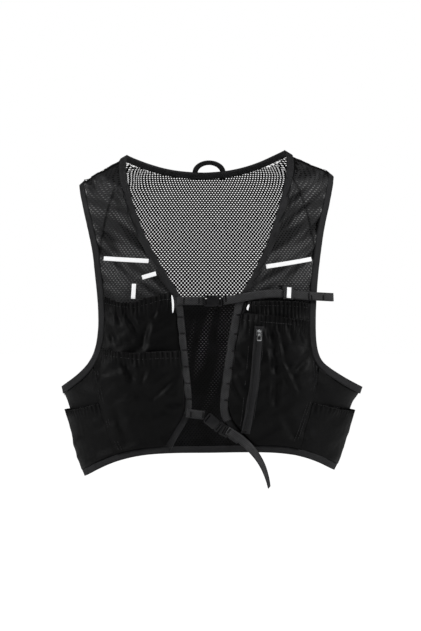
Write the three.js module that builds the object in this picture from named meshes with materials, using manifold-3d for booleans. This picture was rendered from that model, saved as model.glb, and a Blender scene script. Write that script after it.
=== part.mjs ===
// A running hydration vest in the form that it has when worn: two front panels that hang from the
// shoulders, a back panel, side panels, bound edges, stretch pockets and two closing straps.
// Millimetres, +Z up, the wearer looks along -Y, and x > 0 is the wearer's left.
// The origin lies midway between the shoulders, on the line where the straps rest.
import * as THREE from "three";
import { mergeVertices } from "three/addons/utils/BufferGeometryUtils.js";
import Module from "manifold-3d";

const wasm = await Module();
wasm.setup();

// Driving sizes of the worn body
const bodyHeight = 420; // top of the neck edge to the lowest part of the hem
const halfWidth = 190; // centre line to the side, below the armhole
const frontDepth = 98; // centre line to the front of the chest
const backDepth = 94; // centre line to the back
const neckRise = 26; // the shoulders' resting line up to the top of the body
const roundness = 2.2; // exponent of the body's sections, where 2 is an ellipse

// Cloth, tape and webbing
const clothThickness = 1;
const clearance = 0.4;
const layerGap = 0.9; // between a pocket's sewn edges and the cloth under it
const bindingWidth = 8;
const bindingThickness = 2.2;
const bindingSink = 0.5; // how far a binding wraps round the inside of the cloth
const besideBinding = bindingWidth + 2 * clearance; // from an edge in to the cloth it binds
const backEase = 2.6; // the back panel's extra room beside the curve of the armholes
const shoulderEase = 0.6; // how far the front's pieces stop before the shoulder's ridge
const webbingWidth = 10;
const slimWebbingWidth = 8;
const webbingThickness = 1.3;
const loopBow = 1.8; // how far a gear loop stands off between two bar tacks
const loopPitch = 21;

// Pockets
const flaskGape = 6;
const stowGape = 6;
const sideGape = 5.5;
const backGape = 7;
const foldDepth = 3;
const foldBreadth = 10;
const gatherDepth = 0.7;
const gatherReach = 14; // how far the gathers run down from a pocket's mouth
const rimThickness = 1.9; // cloth turned over the elastic at a pocket's mouth
const rimHeight = 7;

// Straps across the chest
const strapWidth = 10.5;
const strapThickness = 1.4;
const elasticWidth = 11;
const tailThickness = 1.2;
const strapRise = 2.8; // how far the upper strap stands off where it crosses the pocket's mouth
const tailStand = 11.5; // how far the lower strap's free end stands off the cloth
const endPlay = 1.2; // between a strap's end and the piece that holds it

// Side-release buckles
const buckleLength = 17;
const buckleWidth = 14;
const buckleThickness = 5.6;
const buckleWall = 1.5;
const buckleCorner = 2.4;
const prongLength = 10;
const prongWidth = 2.2;
const baseLength = 5;
const slotWidth = 1.8;
const plugEnd = buckleLength + clearance + baseLength; // from the socket's closed end
const lockLength = 12;
const lowerStrapRun = 14.4; // from the lock to the strap's end on the binding
const lockWidth = 14;
const lockThickness = 3;

// Zip
const zipTapeWidth = 11;
const zipTapeThickness = 1;
const sliderWidth = 6.4;
const sliderLength = 8.6;
const sliderThickness = 2;
const postWidth = 0.9;
const postGap = 3.6;
const hingeHeight = 2.4; // the pull's hinge line above the slider's plate
const hingeY = 2.4; // and above the slider's middle
const hingeRadius = 0.7;
const hingePlay = 0.35;
const pullLength = 10.5;
const pullWidth = 6.2;
const pullThickness = 1.1;
const eyeWall = 0.8;

// Trim
const stripWidth = 5.4;
const slimStripWidth = 3.4;
const stripThickness = 0.6;
const hangLoopWidth = 7;
const hangLoopHeight = 16;
const hangLoopSpan = 44;
const hangLoopThickness = 1.4;

// How finely each cloth is divided
const grids = {
  frontPanel: { columns: 5, rows: 19 },
  sidePanel: { columns: 8, rows: 5 },
  backPanel: { columns: 16, rows: 22 },
  flaskPocket: { columns: 12, rows: 12 },
  stowPocket: { columns: 12, rows: 9 },
  zipPocket: { columns: 12, rows: 12 },
  sidePocket: { columns: 16, rows: 4 },
  backPocket: { columns: 18, rows: 8 },
};
const bindingStations = { armhole: 48, neck: 24, sideHem: 26, backHem: 16, front: 28 };

// Body sections from the top down. The half widths to the wearer's right and left and the depths
// to the front and back are shares of halfWidth, frontDepth and backDepth, and down is a share
// of bodyHeight.
const sections = [
  { down: 0.0, right: 0.479, left: 0.493, front: 0.31, back: 0.38 },
  { down: 0.037, right: 0.623, left: 0.636, front: 0.47, back: 0.57 },
  { down: 0.074, right: 0.76, left: 0.821, front: 0.58, back: 0.7 },
  { down: 0.111, right: 0.876, left: 0.86, front: 0.67, back: 0.79 },
  { down: 0.167, right: 0.896, left: 0.883, front: 0.76, back: 0.86 },
  { down: 0.279, right: 0.92, left: 0.917, front: 0.88, back: 0.95 },
  { down: 0.464, right: 0.951, left: 0.965, front: 1.0, back: 1.0 },
  { down: 0.604, right: 0.972, left: 1.006, front: 1.01, back: 0.98 },
  { down: 0.734, right: 0.996, left: 1.037, front: 0.99, back: 0.94 },
  { down: 0.799, right: 0.942, left: 0.957, front: 0.97, back: 0.92 },
  { down: 0.873, right: 0.924, left: 0.934, front: 0.95, back: 0.89 },
  { down: 0.947, right: 0.89, left: 0.89, front: 0.93, back: 0.86 },
  { down: 1.022, right: 0.828, left: 0.812, front: 0.91, back: 0.84 },
  { down: 1.1, right: 0.77, left: 0.76, front: 0.9, back: 0.83 },
];

// The front opening's edge, from the neck down to the cut corner of the hem: shares of halfWidth
// from the centre line.
const frontEdge = [
  { down: 0.006, right: 0.554, left: 0.527 },
  { down: 0.033, right: 0.566, left: 0.531 },
  { down: 0.066, right: 0.566, left: 0.528 },
  { down: 0.123, right: 0.542, left: 0.506 },
  { down: 0.194, right: 0.496, left: 0.464 },
  { down: 0.259, right: 0.44, left: 0.418 },
  { down: 0.311, right: 0.385, left: 0.375 },
  { down: 0.396, right: 0.273, left: 0.284 },
  { down: 0.438, right: 0.21, left: 0.227 },
  { down: 0.466, right: 0.182, left: 0.184 },
  { down: 0.514, right: 0.17, left: 0.158 },
  { down: 0.617, right: 0.148, left: 0.12 },
  { down: 0.719, right: 0.125, left: 0.089 },
  { down: 0.785, right: 0.115, left: 0.074 },
  { down: 0.822, right: 0.134, left: 0.086 },
  { down: 0.865, right: 0.192, left: 0.15 },
  { down: 0.895, right: 0.231, left: 0.214 },
  { down: 0.95, right: 0.29, left: 0.33 },
];

// The armhole's edge on the front and on the back: shares of halfWidth from the centre line.
const armhole = [
  { down: 0.062, frontRight: 0.879, frontLeft: 0.845, backRight: 0.879, backLeft: 0.845 },
  { down: 0.112, frontRight: 0.873, frontLeft: 0.831, backRight: 0.872, backLeft: 0.828 },
  { down: 0.168, frontRight: 0.85, frontLeft: 0.808, backRight: 0.822, backLeft: 0.782 },
  { down: 0.242, frontRight: 0.813, frontLeft: 0.771, backRight: 0.769, backLeft: 0.735 },
  { down: 0.316, frontRight: 0.777, frontLeft: 0.746, backRight: 0.729, backLeft: 0.702 },
  { down: 0.39, frontRight: 0.758, frontLeft: 0.726, backRight: 0.709, backLeft: 0.682 },
  { down: 0.465, frontRight: 0.74, frontLeft: 0.713, backRight: 0.696, backLeft: 0.676 },
  { down: 0.538, frontRight: 0.734, frontLeft: 0.708, backRight: 0.698, backLeft: 0.682 },
  { down: 0.593, frontRight: 0.745, frontLeft: 0.712, backRight: 0.717, backLeft: 0.696 },
  { down: 0.632, frontRight: 0.769, frontLeft: 0.727, backRight: 0.746, backLeft: 0.718 },
  { down: 0.657, frontRight: 0.799, frontLeft: 0.757, backRight: 0.78, backLeft: 0.754 },
  { down: 0.687, frontRight: 0.861, frontLeft: 0.852, backRight: 0.854, backLeft: 0.85 },
  { down: 0.712, frontRight: 0.93, frontLeft: 0.943, backRight: 0.932, backLeft: 0.947 },
  { down: 0.734, frontRight: 1.0, frontLeft: 1.04, backRight: 1.0, backLeft: 1.04 },
];

// The hem: how far down it lies at each share of halfWidth from the centre line.
const hem = [
  { across: 0.0, frontRight: 0.925, frontLeft: 0.925, backRight: 0.945, backLeft: 0.945 },
  { across: 0.27, frontRight: 0.927, frontLeft: 0.925, backRight: 0.946, backLeft: 0.943 },
  { across: 0.47, frontRight: 0.937, frontLeft: 0.927, backRight: 0.952, backLeft: 0.944 },
  { across: 0.62, frontRight: 0.955, frontLeft: 0.94, backRight: 0.966, backLeft: 0.952 },
  { across: 0.74, frontRight: 0.979, frontLeft: 0.96, backRight: 0.986, backLeft: 0.967 },
  { across: 0.84, frontRight: 1.005, frontLeft: 0.984, backRight: 1.005, backLeft: 0.984 },
  { across: 1.0, frontRight: 1.045, frontLeft: 1.018, backRight: 1.045, backLeft: 1.018 },
];

// The back's neck edge: how far down it lies at each share of halfWidth from the centre line.
const neckEdge = [
  { across: 0.0, right: 0.067, left: 0.066 },
  { across: 0.13, right: 0.065, left: 0.061 },
  { across: 0.257, right: 0.059, left: 0.049 },
  { across: 0.36, right: 0.049, left: 0.034 },
  { across: 0.47, right: 0.034, left: 0.013 },
  { across: 0.6, right: 0.013, left: -0.01 },
];

// The seam between a front panel and a side panel. The back panel's seam mirrors it.
const sideSeam = [
  { down: 0.56, right: 0.795, left: 0.76 },
  { down: 0.617, right: 0.786, left: 0.746 },
  { down: 0.678, right: 0.774, left: 0.732 },
  { down: 0.769, right: 0.733, left: 0.692 },
  { down: 0.845, right: 0.683, left: 0.645 },
  { down: 0.937, right: 0.619, left: 0.595 },
  { down: 1.0, right: 0.58, left: 0.56 },
];

// The pockets' mouths, from the front opening's side outwards.
const mouths = {
  flask_right: [
    { across: 0.2, down: 0.443 },
    { across: 0.326, down: 0.451 },
    { across: 0.426, down: 0.465 },
    { across: 0.511, down: 0.477 },
    { across: 0.573, down: 0.476 },
    { across: 0.636, down: 0.468 },
    { across: 0.748, down: 0.452 },
  ],
  stow_right: [
    { across: 0.14, down: 0.618 },
    { across: 0.372, down: 0.621 },
    { across: 0.48, down: 0.626 },
    { across: 0.589, down: 0.621 },
    { across: 0.768, down: 0.61 },
  ],
  flask_left: [
    { across: 0.19, down: 0.47 },
    { across: 0.475, down: 0.469 },
    { across: 0.733, down: 0.475 },
  ],
  zip_left: [
    { across: 0.16, down: 0.504 },
    { across: 0.303, down: 0.509 },
    { across: 0.411, down: 0.513 },
    { across: 0.526, down: 0.523 },
    { across: 0.733, down: 0.527 },
  ],
  side: [
    { across: 0.7, down: 0.775 },
    { across: 0.8, down: 0.786 },
    { across: 0.9, down: 0.796 },
    { across: 1.1, down: 0.799 },
  ],
  back: [
    { across: 0.0, down: 0.462 },
    { across: 0.4, down: 0.46 },
    { across: 0.7, down: 0.452 },
  ],
};

// Folds pressed into the pockets' faces. depth and breadth are shares of foldDepth and foldBreadth.
const folds = [
  { on: "flask_right", x0: 0.63, d0: 0.49, x1: 0.59, d1: 0.54, depth: 0.53, breadth: 0.8 },
  { on: "flask_right", x0: 0.57, d0: 0.495, x1: 0.46, d1: 0.575, depth: 0.6, breadth: 0.8 },
  { on: "flask_right", x0: 0.41, d0: 0.52, x1: 0.46, d1: 0.61, depth: 0.87, breadth: 0.8 },
  { on: "flask_right", x0: 0.35, d0: 0.5, x1: 0.39, d1: 0.52, depth: 0.53, breadth: 0.7 },
  { on: "flask_right", x0: 0.69, d0: 0.54, x1: 0.63, d1: 0.61, depth: 0.6, breadth: 0.8 },
  { on: "stow_right", x0: 0.57, d0: 0.65, x1: 0.49, d1: 0.72, depth: 0.6, breadth: 0.8 },
  { on: "stow_right", x0: 0.21, d0: 0.69, x1: 0.39, d1: 0.77, depth: 0.8, breadth: 0.9 },
  { on: "stow_right", x0: 0.17, d0: 0.78, x1: 0.3, d1: 0.785, depth: 0.53, breadth: 0.8 },
  { on: "zip_left", x0: 0.41, d0: 0.55, x1: 0.45, d1: 0.79, depth: 1, breadth: 1 },
  { on: "zip_left", x0: 0.68, d0: 0.63, x1: 0.56, d1: 0.7, depth: 0.73, breadth: 0.9 },
  { on: "zip_left", x0: 0.54, d0: 0.69, x1: 0.6, d1: 0.765, depth: -0.53, breadth: 0.8 },
  { on: "zip_left", x0: 0.15, d0: 0.7, x1: 0.23, d1: 0.78, depth: 0.53, breadth: 0.8 },
  { on: "side_right", x0: 0.97, d0: 0.81, x1: 0.82, d1: 0.88, depth: 0.6, breadth: 0.9 },
  { on: "side_left", x0: 0.96, d0: 0.81, x1: 0.8, d1: 0.87, depth: 0.6, breadth: 0.9 },
];

// Where the zip runs, from its top end down.
const zipLine = [
  { across: 0.322, down: 0.545 },
  { across: 0.312, down: 0.6 },
  { across: 0.301, down: 0.677 },
  { across: 0.281, down: 0.753 },
  { across: 0.262, down: 0.813 },
  { across: 0.24, down: 0.868 },
];
const sliderDown = 0.564;

// Reflective strips on the chest: ends as shares. side -1 is the wearer's right.
const strips = [
  { name: "strip_long_right", side: -1, x0: 0.7, d0: 0.339, x1: 0.402, d1: 0.348 },
  { name: "strip_short_right", side: -1, x0: 0.443, d0: 0.398, x1: 0.352, d1: 0.386 },
  { name: "strip_bar_right", side: -1, x0: 0.499, d0: 0.417, x1: 0.505, d1: 0.462 },
  { name: "strip_long_left", side: 1, x0: 0.38, d0: 0.365, x1: 0.682, d1: 0.341 },
];
const slimStrips = [
  { name: "strip_slim_right", side: -1, x0: 0.243, d0: 0.452, x1: 0.236, d1: 0.505 },
  { name: "strip_slim_left", side: 1, x0: 0.264, d0: 0.48, x1: 0.252, d1: 0.497 },
];

// The gear loops' ends
const gearLoopTop = 0.458;
const gearLoopEnd = { right: 0.811, left: 0.83 };

// The upper strap's two parts, from the wearer's right. rise is its height above the gear loops'
// webbing, as a share of strapRise, where it passes over a pocket's mouth. The left part starts at
// the buckle's plug.
const upperStrapRight = [
  { across: -0.21, down: 0.469 },
  { across: -0.12, down: 0.469 },
  { across: -0.034, down: 0.469 },
];
const upperBuckle = { across: -0.032, down: 0.469, tilt: 0 };
const upperStrapLeft = [
  { across: plugEndAcross(upperBuckle), down: 0.469, rise: 0 },
  { across: 0.18, down: 0.463, rise: 0 },
  { across: 0.281, down: 0.455, rise: 0.86 },
  { across: 0.374, down: 0.449, rise: 1 },
  { across: 0.462, down: 0.448, rise: 1 },
  { across: 0.543, down: 0.451, rise: 1 },
  { across: 0.651, down: 0.455, rise: 0.86 },
  { across: 0.806, down: 0.459, rise: 1.07 },
];
const keeper = { across: 0.517, down: 0.4497, tilt: -0.08 };
const keeperWidth = 12;
const keeperWall = 1.1;
const keeperAbove = 3;
const keeperRise = 6.4; // room between the cloth's face and the strap inside the keeper

// The lower strap's two parts and the pieces between them
const lowerStrapRight = [
  { across: -0.15, down: 0.806 },
  { across: -0.08, down: 0.811 },
  { across: -0.032, down: 0.813 },
];
const lowerBuckle = { across: -0.018, down: 0.818, tilt: -0.68 };
const lockTilt = -0.5;
const lockStart = beyond(lowerBuckle, lowerBuckle.tilt, plugEnd + endPlay);
const ladderLock = { ...beyond(lockStart, lockTilt, lockLength / 2), tilt: lockTilt };
const lowerStrapTilt = -0.646;
const lowerStrapBend = -0.734; // the tilt of its first half, before it settles on the binding
const lowerStrapStart = beyond(ladderLock, lockTilt, lockLength / 2 + endPlay);
const lowerStrapLeft = [
  { ...lowerStrapStart, settle: 0 },
  { ...beyond(lowerStrapStart, lowerStrapBend, lowerStrapRun / 2), settle: 0.5 },
  { ...beyond(lowerStrapStart, lowerStrapTilt, lowerStrapRun), settle: 1 },
];

// The free end of the lower strap, which hangs below the hem and turns edge on. stand is a share
// of tailStand.
const tailRoute = [
  { across: 0.12, down: 0.858, stand: 0.59, twist: 0 },
  { across: 0.201, down: 0.882, stand: 0.74, twist: -0.1 },
  { across: 0.265, down: 0.91, stand: 0.913, twist: -0.35 },
  { across: 0.315, down: 0.939, stand: 1, twist: -0.6 },
  { across: 0.352, down: 0.971, stand: 0.957, twist: -0.8 },
  { across: 0.376, down: 1.005, stand: 0.87, twist: -0.95 },
  { across: 0.387, down: 1.031, stand: 0.826, twist: -1.05 },
];

const vest = new THREE.Group();
const lerp = THREE.MathUtils.lerp;

// Materials
function paint(color, roughness, metalness = 0) {
  return new THREE.MeshStandardMaterial({ color, roughness, metalness });
}
const meshCloth = () => paint(0x24262a, 0.85);
const wovenCloth = () => paint(0x151618, 0.7);
const tape = () => paint(0x2a2b2e, 0.8);
const webbing = () => paint(0x2e3034, 0.75);
const plastic = () => paint(0x101113, 0.45);
const reflective = () => paint(0xe9ecef, 0.35);
const metal = () => paint(0xb9bcc0, 0.3, 0.9);

// The place that lies a distance away from another, in the direction of a piece's tilt.
function beyond({ across, down }, tilt, distance) {
  return {
    across: across + (distance * Math.cos(tilt)) / halfWidth,
    down: down - (distance * Math.sin(tilt)) / bodyHeight,
  };
}

// Where a strap that is held by a buckle's plug starts.
function plugEndAcross(buckle) {
  return beyond(buckle, buckle.tilt, plugEnd + endPlay).across;
}

// Reads one column of a table between its rows, along a smooth curve through them.
function read(rows, column, at, by = "down") {
  const last = rows.length - 1;
  let i = 0;
  while (i < last - 1 && rows[i + 1][by] < at) i += 1;
  const slope = (k) => {
    const a = rows[Math.max(k - 1, 0)];
    const b = rows[Math.min(k + 1, last)];
    return (b[column] - a[column]) / (b[by] - a[by]);
  };
  const span = rows[i + 1][by] - rows[i][by];
  const t = THREE.MathUtils.clamp((at - rows[i][by]) / span, 0, 1);
  const bend = t * t * (3 - 2 * t);
  return (
    lerp(rows[i][column], rows[i + 1][column], bend) +
    span * t * (1 - t) * ((1 - t) * slope(i) - t * slope(i + 1))
  );
}

// The worn body. A place on it is { turn, down }: turn runs from 0 at the front centre to half a
// turn at the back centre, positive to the wearer's left.
const signedPower = (value, power) => Math.sign(value) * Math.abs(value) ** power;
const sideOf = (turn) => (Math.sin(turn) < 0 ? "right" : "left");

function sizesAt(turn, down) {
  const facesFront = Math.cos(turn) > 0;
  const width = halfWidth * read(sections, sideOf(turn), down);
  const depth = facesFront
    ? frontDepth * read(sections, "front", down)
    : backDepth * read(sections, "back", down);
  return { width, depth };
}

// The point that lies lift millimetres out from the body at a place, and the way out.
function outward(turn, down) {
  const { width, depth } = sizesAt(turn, down);
  const step = 0.004;
  const above = sizesAt(turn, down - step);
  const below = sizesAt(turn, down + step);
  const fall = 2 * step * bodyHeight;
  const s = Math.abs(Math.sin(turn)) ** 2;
  const c = Math.abs(Math.cos(turn)) ** 2;
  const widthSlope = (above.width - below.width) / fall;
  const depthSlope = (above.depth - below.depth) / fall;
  const power = (2 * (roundness - 1)) / roundness;
  return new THREE.Vector3(
    signedPower(Math.sin(turn), power) / width,
    -signedPower(Math.cos(turn), power) / depth,
    -(s * widthSlope) / width - (c * depthSlope) / depth,
  ).normalize();
}

function skin(turn, down, lift = 0) {
  const { width, depth } = sizesAt(turn, down);
  const point = new THREE.Vector3(
    width * signedPower(Math.sin(turn), 2 / roundness),
    -depth * signedPower(Math.cos(turn), 2 / roundness),
    neckRise - down * bodyHeight,
  );
  return lift === 0 ? point : point.addScaledVector(outward(turn, down), lift);
}

// The turn at which the body is a share of halfWidth away from the centre line.
function turnAt(side, across, down, onBack = false) {
  const share = Math.min(1, across / read(sections, side < 0 ? "right" : "left", down));
  const fromSide = Math.acos(share ** (roundness / 2));
  return side * (Math.PI / 2 + (onBack ? fromSide : -fromSide));
}

// Lines on the body are lists of places.
const lineSteps = 72;
const sideSteps = 120;
const armholeBottom = armhole[armhole.length - 3].down;

// A line from places given by a table, cut off where it leaves the body's outline.
function traceLine(placeAt, from, to, side, onBack = false) {
  const inside = (t) => {
    const { across, down } = placeAt(lerp(from, to, t));
    return across <= read(sections, side < 0 ? "right" : "left", down);
  };
  const limit = (out, within) => {
    let a = out;
    let b = within;
    for (let i = 0; i < 40; i += 1) {
      const middle = (a + b) / 2;
      if (inside(middle)) b = middle;
      else a = middle;
    }
    return b;
  };
  const first = inside(0) ? 0 : limit(0, 0.5);
  const last = inside(1) ? 1 : limit(1, 0.5);
  const places = [];
  for (let i = 0; i <= lineSteps; i += 1) {
    const share = (1 - Math.cos((Math.PI * i) / lineSteps)) / 2;
    const { across, down } = placeAt(lerp(from, to, lerp(first, last, share)));
    const atLimit = (i === 0 && first > 0) || (i === lineSteps && last < 1);
    const turn = atLimit ? (side * Math.PI) / 2 : turnAt(side, across, down, onBack);
    places.push({ turn, down });
  }
  return places;
}

function lineDown(rows, column, side, onBack = false) {
  const placeAt = (down) => ({ across: read(rows, column, down), down });
  return traceLine(placeAt, rows[0].down, rows[rows.length - 1].down, side, onBack);
}

function lineAcross(rows, column, side, onBack = false) {
  const placeAt = (across) => ({ across, down: read(rows, column, across, "across") });
  return traceLine(placeAt, rows[0].across, rows[rows.length - 1].across, side, onBack);
}

// The place on the body that lies nearest to a point, starting from a place close by.
function nearestPlace(point, start) {
  const step = 0.002;
  let { turn, down } = start;
  for (let i = 0; i < 5; i += 1) {
    const here = skin(turn, down);
    const along = skin(turn + step, down).sub(skin(turn - step, down)).divideScalar(2 * step);
    const fall = skin(turn, down + step).sub(skin(turn, down - step)).divideScalar(2 * step);
    const miss = point.clone().sub(here);
    const aa = along.dot(along);
    const ff = fall.dot(fall);
    const af = along.dot(fall);
    const size = aa * ff - af * af;
    turn += (miss.dot(along) * ff - miss.dot(fall) * af) / size;
    down += (miss.dot(fall) * aa - miss.dot(along) * af) / size;
  }
  return { turn, down };
}

function tangentAt(line, i, closed = false) {
  const count = line.length;
  const before = closed ? (i + count - 1) % count : Math.max(i - 1, 0);
  const after = closed ? (i + 1) % count : Math.min(i + 1, count - 1);
  const a = line[before];
  const b = line[after];
  return skin(b.turn, b.down).sub(skin(a.turn, a.down)).normalize();
}

// The line moved sideways over the body: to the right of its own direction, seen from outside.
function inset(line, distance, closed = false) {
  return line.map((place, i) => {
    const normal = outward(place.turn, place.down);
    const aside = tangentAt(line, i, closed).cross(normal).normalize();
    const target = skin(place.turn, place.down).addScaledVector(aside, distance);
    return nearestPlace(target, place);
  });
}

// Equal steps along a line.
function resample(line, count) {
  const lengths = [0];
  for (let i = 1; i < line.length; i += 1) {
    const a = skin(line[i - 1].turn, line[i - 1].down);
    const b = skin(line[i].turn, line[i].down);
    lengths.push(lengths[i - 1] + a.distanceTo(b));
  }
  const total = lengths[lengths.length - 1];
  const places = [];
  let i = 1;
  for (let k = 0; k <= count; k += 1) {
    const at = (total * k) / count;
    while (i < line.length - 1 && lengths[i] < at) i += 1;
    const t = (at - lengths[i - 1]) / (lengths[i] - lengths[i - 1] || 1);
    places.push({
      turn: lerp(line[i - 1].turn, line[i].turn, t),
      down: lerp(line[i - 1].down, line[i].down, t),
    });
  }
  return places;
}

function lineLength(line) {
  let total = 0;
  for (let i = 1; i < line.length; i += 1) {
    const a = skin(line[i - 1].turn, line[i - 1].down);
    total += a.distanceTo(skin(line[i].turn, line[i].down));
  }
  return total;
}

// Reads one coordinate of a line where its other coordinate has a value.
function along(line, wanted, by, value) {
  for (let i = 1; i < line.length; i += 1) {
    const a = line[i - 1];
    const b = line[i];
    if ((a[by] - value) * (b[by] - value) <= 0 && a[by] !== b[by]) {
      return lerp(a[wanted], b[wanted], (value - a[by]) / (b[by] - a[by]));
    }
  }
  const first = line[0];
  const last = line[line.length - 1];
  return Math.abs(first[by] - value) < Math.abs(last[by] - value) ? first[wanted] : last[wanted];
}

const turnOn = (line, down) => along(line, "turn", "down", down);
const downOn = (line, turn) => along(line, "down", "turn", turn);

// Where a steep line meets a flat one.
function meet(steep, flat) {
  let down = flat[0].down;
  let turn = 0;
  for (let i = 0; i < 12; i += 1) {
    turn = turnOn(steep, down);
    down = downOn(flat, turn);
  }
  return { turn, down };
}

// The stretch of a line between two places, which become its ends.
function stretch(line, first, last, by) {
  const from = first[by];
  const to = last[by];
  const between = line.filter((p) => (p[by] - from) * (p[by] - to) < 0);
  const ordered = between.sort((a, b) => (a[by] - b[by]) * Math.sign(to - from));
  return [first, ...ordered, last];
}

// A closed geometry from points and triangles.
function closedGeometry(points, triangles) {
  const geometry = new THREE.BufferGeometry();
  geometry.setAttribute(
    "position",
    new THREE.Float32BufferAttribute(points.flatMap((p) => [p.x, p.y, p.z]), 3),
  );
  geometry.setIndex(triangles);
  geometry.computeVertexNormals();
  return geometry;
}

function addMesh(name, geometry, material, parent = vest) {
  const mesh = new THREE.Mesh(geometry, material);
  mesh.name = name;
  parent.add(mesh);
  return mesh;
}

// Cloth between four lines. shape(place, u, v) gives the lift of its inner face and its thickness.
function sheetGeometry({ top, bottom, start, end }, { columns, rows }, shape) {
  const t = resample(top, columns);
  const b = resample(bottom, columns);
  const s = resample(start, rows);
  const e = resample(end, rows);
  const corner = (u, v, key) =>
    (1 - u) * (1 - v) * t[0][key] +
    u * (1 - v) * t[columns][key] +
    (1 - u) * v * b[0][key] +
    u * v * b[columns][key];
  const at = (i, j, key) => {
    const u = i / columns;
    const v = j / rows;
    const across = (1 - v) * t[i][key] + v * b[i][key];
    const downwards = (1 - u) * s[j][key] + u * e[j][key];
    return across + downwards - corner(u, v, key);
  };
  const inner = [];
  const outer = [];
  for (let j = 0; j <= rows; j += 1) {
    for (let i = 0; i <= columns; i += 1) {
      const place = { turn: at(i, j, "turn"), down: at(i, j, "down") };
      const { lift, thickness } = shape(place, i / columns, j / rows, i);
      inner.push(skin(place.turn, place.down, lift));
      outer.push(skin(place.turn, place.down, lift + thickness));
    }
  }
  const count = inner.length;
  const id = (i, j) => j * (columns + 1) + i;
  const triangles = [];
  const quad = (a, b2, c, d) => triangles.push(a, b2, c, a, c, d);
  const span = (a, b2) => inner[a].distanceToSquared(inner[b2]);
  for (let j = 0; j < rows; j += 1) {
    for (let i = 0; i < columns; i += 1) {
      const cell = [id(i, j), id(i + 1, j), id(i + 1, j + 1), id(i, j + 1)];
      // Each cell is split along its shorter diagonal, the same on both faces.
      if (span(cell[1], cell[3]) < span(cell[0], cell[2])) cell.push(cell.shift());
      const [a, b2, c, d] = cell;
      quad(a, b2, c, d);
      quad(count + a, count + d, count + c, count + b2);
    }
  }
  for (let i = 0; i < columns; i += 1) {
    quad(id(i + 1, 0), id(i, 0), count + id(i, 0), count + id(i + 1, 0));
    quad(id(i, rows), id(i + 1, rows), count + id(i + 1, rows), count + id(i, rows));
  }
  for (let j = 0; j < rows; j += 1) {
    quad(id(0, j), id(0, j + 1), count + id(0, j + 1), count + id(0, j));
    quad(id(columns, j + 1), id(columns, j), count + id(columns, j), count + id(columns, j + 1));
  }
  return outwardFacing(closedGeometry([...inner, ...outer], triangles));
}

// Turns a closed geometry's faces outwards.
function outwardFacing(geometry) {
  const index = geometry.getIndex().array;
  const p = geometry.getAttribute("position");
  const [a, b, c] = [new THREE.Vector3(), new THREE.Vector3(), new THREE.Vector3()];
  let volume = 0;
  for (let i = 0; i < index.length; i += 3) {
    a.fromBufferAttribute(p, index[i]);
    b.fromBufferAttribute(p, index[i + 1]);
    c.fromBufferAttribute(p, index[i + 2]);
    volume += a.dot(b.cross(c));
  }
  if (volume < 0) {
    for (let i = 0; i < index.length; i += 3) {
      [index[i + 1], index[i + 2]] = [index[i + 2], index[i + 1]];
    }
    geometry.computeVertexNormals();
  }
  return geometry;
}

// A flat band along stations of { point, along, normal, width, thickness }. The inner face runs
// through the points, and the band grows out along the normals.
function bandGeometry(stations, closed = false) {
  const points = [];
  for (const { point, along: way, normal, width, thickness } of stations) {
    const aside = way.clone().cross(normal).normalize();
    for (const [across, out] of [[-0.5, 0], [0.5, 0], [0.5, 1], [-0.5, 1]]) {
      points.push(
        point
          .clone()
          .addScaledVector(aside, across * width)
          .addScaledVector(normal, out * thickness),
      );
    }
  }
  const triangles = [];
  const count = stations.length;
  for (let k = 0; k < (closed ? count : count - 1); k += 1) {
    const a = 4 * k;
    const b = 4 * ((k + 1) % count);
    for (let i = 0; i < 4; i += 1) {
      const j = (i + 1) % 4;
      triangles.push(a + i, a + j, b + j, a + i, b + j, b + i);
    }
  }
  if (!closed) {
    const z = 4 * (count - 1);
    triangles.push(0, 2, 1, 0, 3, 2, z, z + 1, z + 2, z, z + 2, z + 3);
  }
  return outwardFacing(closedGeometry(points, triangles));
}

// A band along a line on the body. lift may change from place to place.
function lineBand(line, { count, width, thickness, lift, closed = false }) {
  const loop = closed ? [...line, line[0]] : line;
  const places = resample(loop, count);
  if (closed) places.pop();
  const stations = places.map((place, k) => ({
    point: skin(place.turn, place.down, typeof lift === "number" ? lift : lift(place, k / count)),
    along: tangentAt(places, k, closed),
    normal: outward(place.turn, place.down),
    width,
    thickness,
  }));
  return bandGeometry(stations, closed);
}

// A straight strip between two places on one side of the front.
function routeLine(rows, side) {
  return rows.map(({ across, down }) => ({ turn: turnAt(side, across, down), down }));
}

// The vest's lines on one side: side is -1 for the wearer's right and 1 for the left.
function linesOf(side) {
  const name = side < 0 ? "right" : "left";
  const label = side < 0 ? "Right" : "Left";
  const edge = lineDown(frontEdge, name, side);
  const armFront = lineDown(armhole, "front" + label, side);
  const armBack = lineDown(armhole, "back" + label, side, true);
  const hemFront = lineAcross(hem, "front" + label, side);
  const hemBack = lineAcross(hem, "back" + label, side, true);
  const neck = lineAcross(neckEdge, name, side, true);
  const seamFront = lineDown(sideSeam, name, side);
  const seamBack = lineDown(sideSeam, name, side, true);
  return { side, name, edge, armFront, armBack, hemFront, hemBack, neck, seamFront, seamBack };
}

// The armhole as one closed line: down the front edge and up the back edge.
function armholeLoop(lines) {
  const back = [...lines.armBack].reverse().slice(1, -1);
  return [...lines.armFront, ...back];
}

// Insets that lie on the cloth's side of each line, by the side of the body.
const insetEdge = (lines, distance) => inset(lines.edge, distance * -lines.side);
const insetArmFront = (lines, distance) => inset(lines.armFront, distance * lines.side);
const insetArmBack = (lines, distance) => inset(lines.armBack, distance * -lines.side);
const insetHemFront = (lines, distance) => inset(lines.hemFront, distance * -lines.side);
const insetHemBack = (lines, distance) => inset(lines.hemBack, distance * lines.side);
const insetNeck = (lines, distance) => inset(lines.neck, distance * -lines.side);

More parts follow.
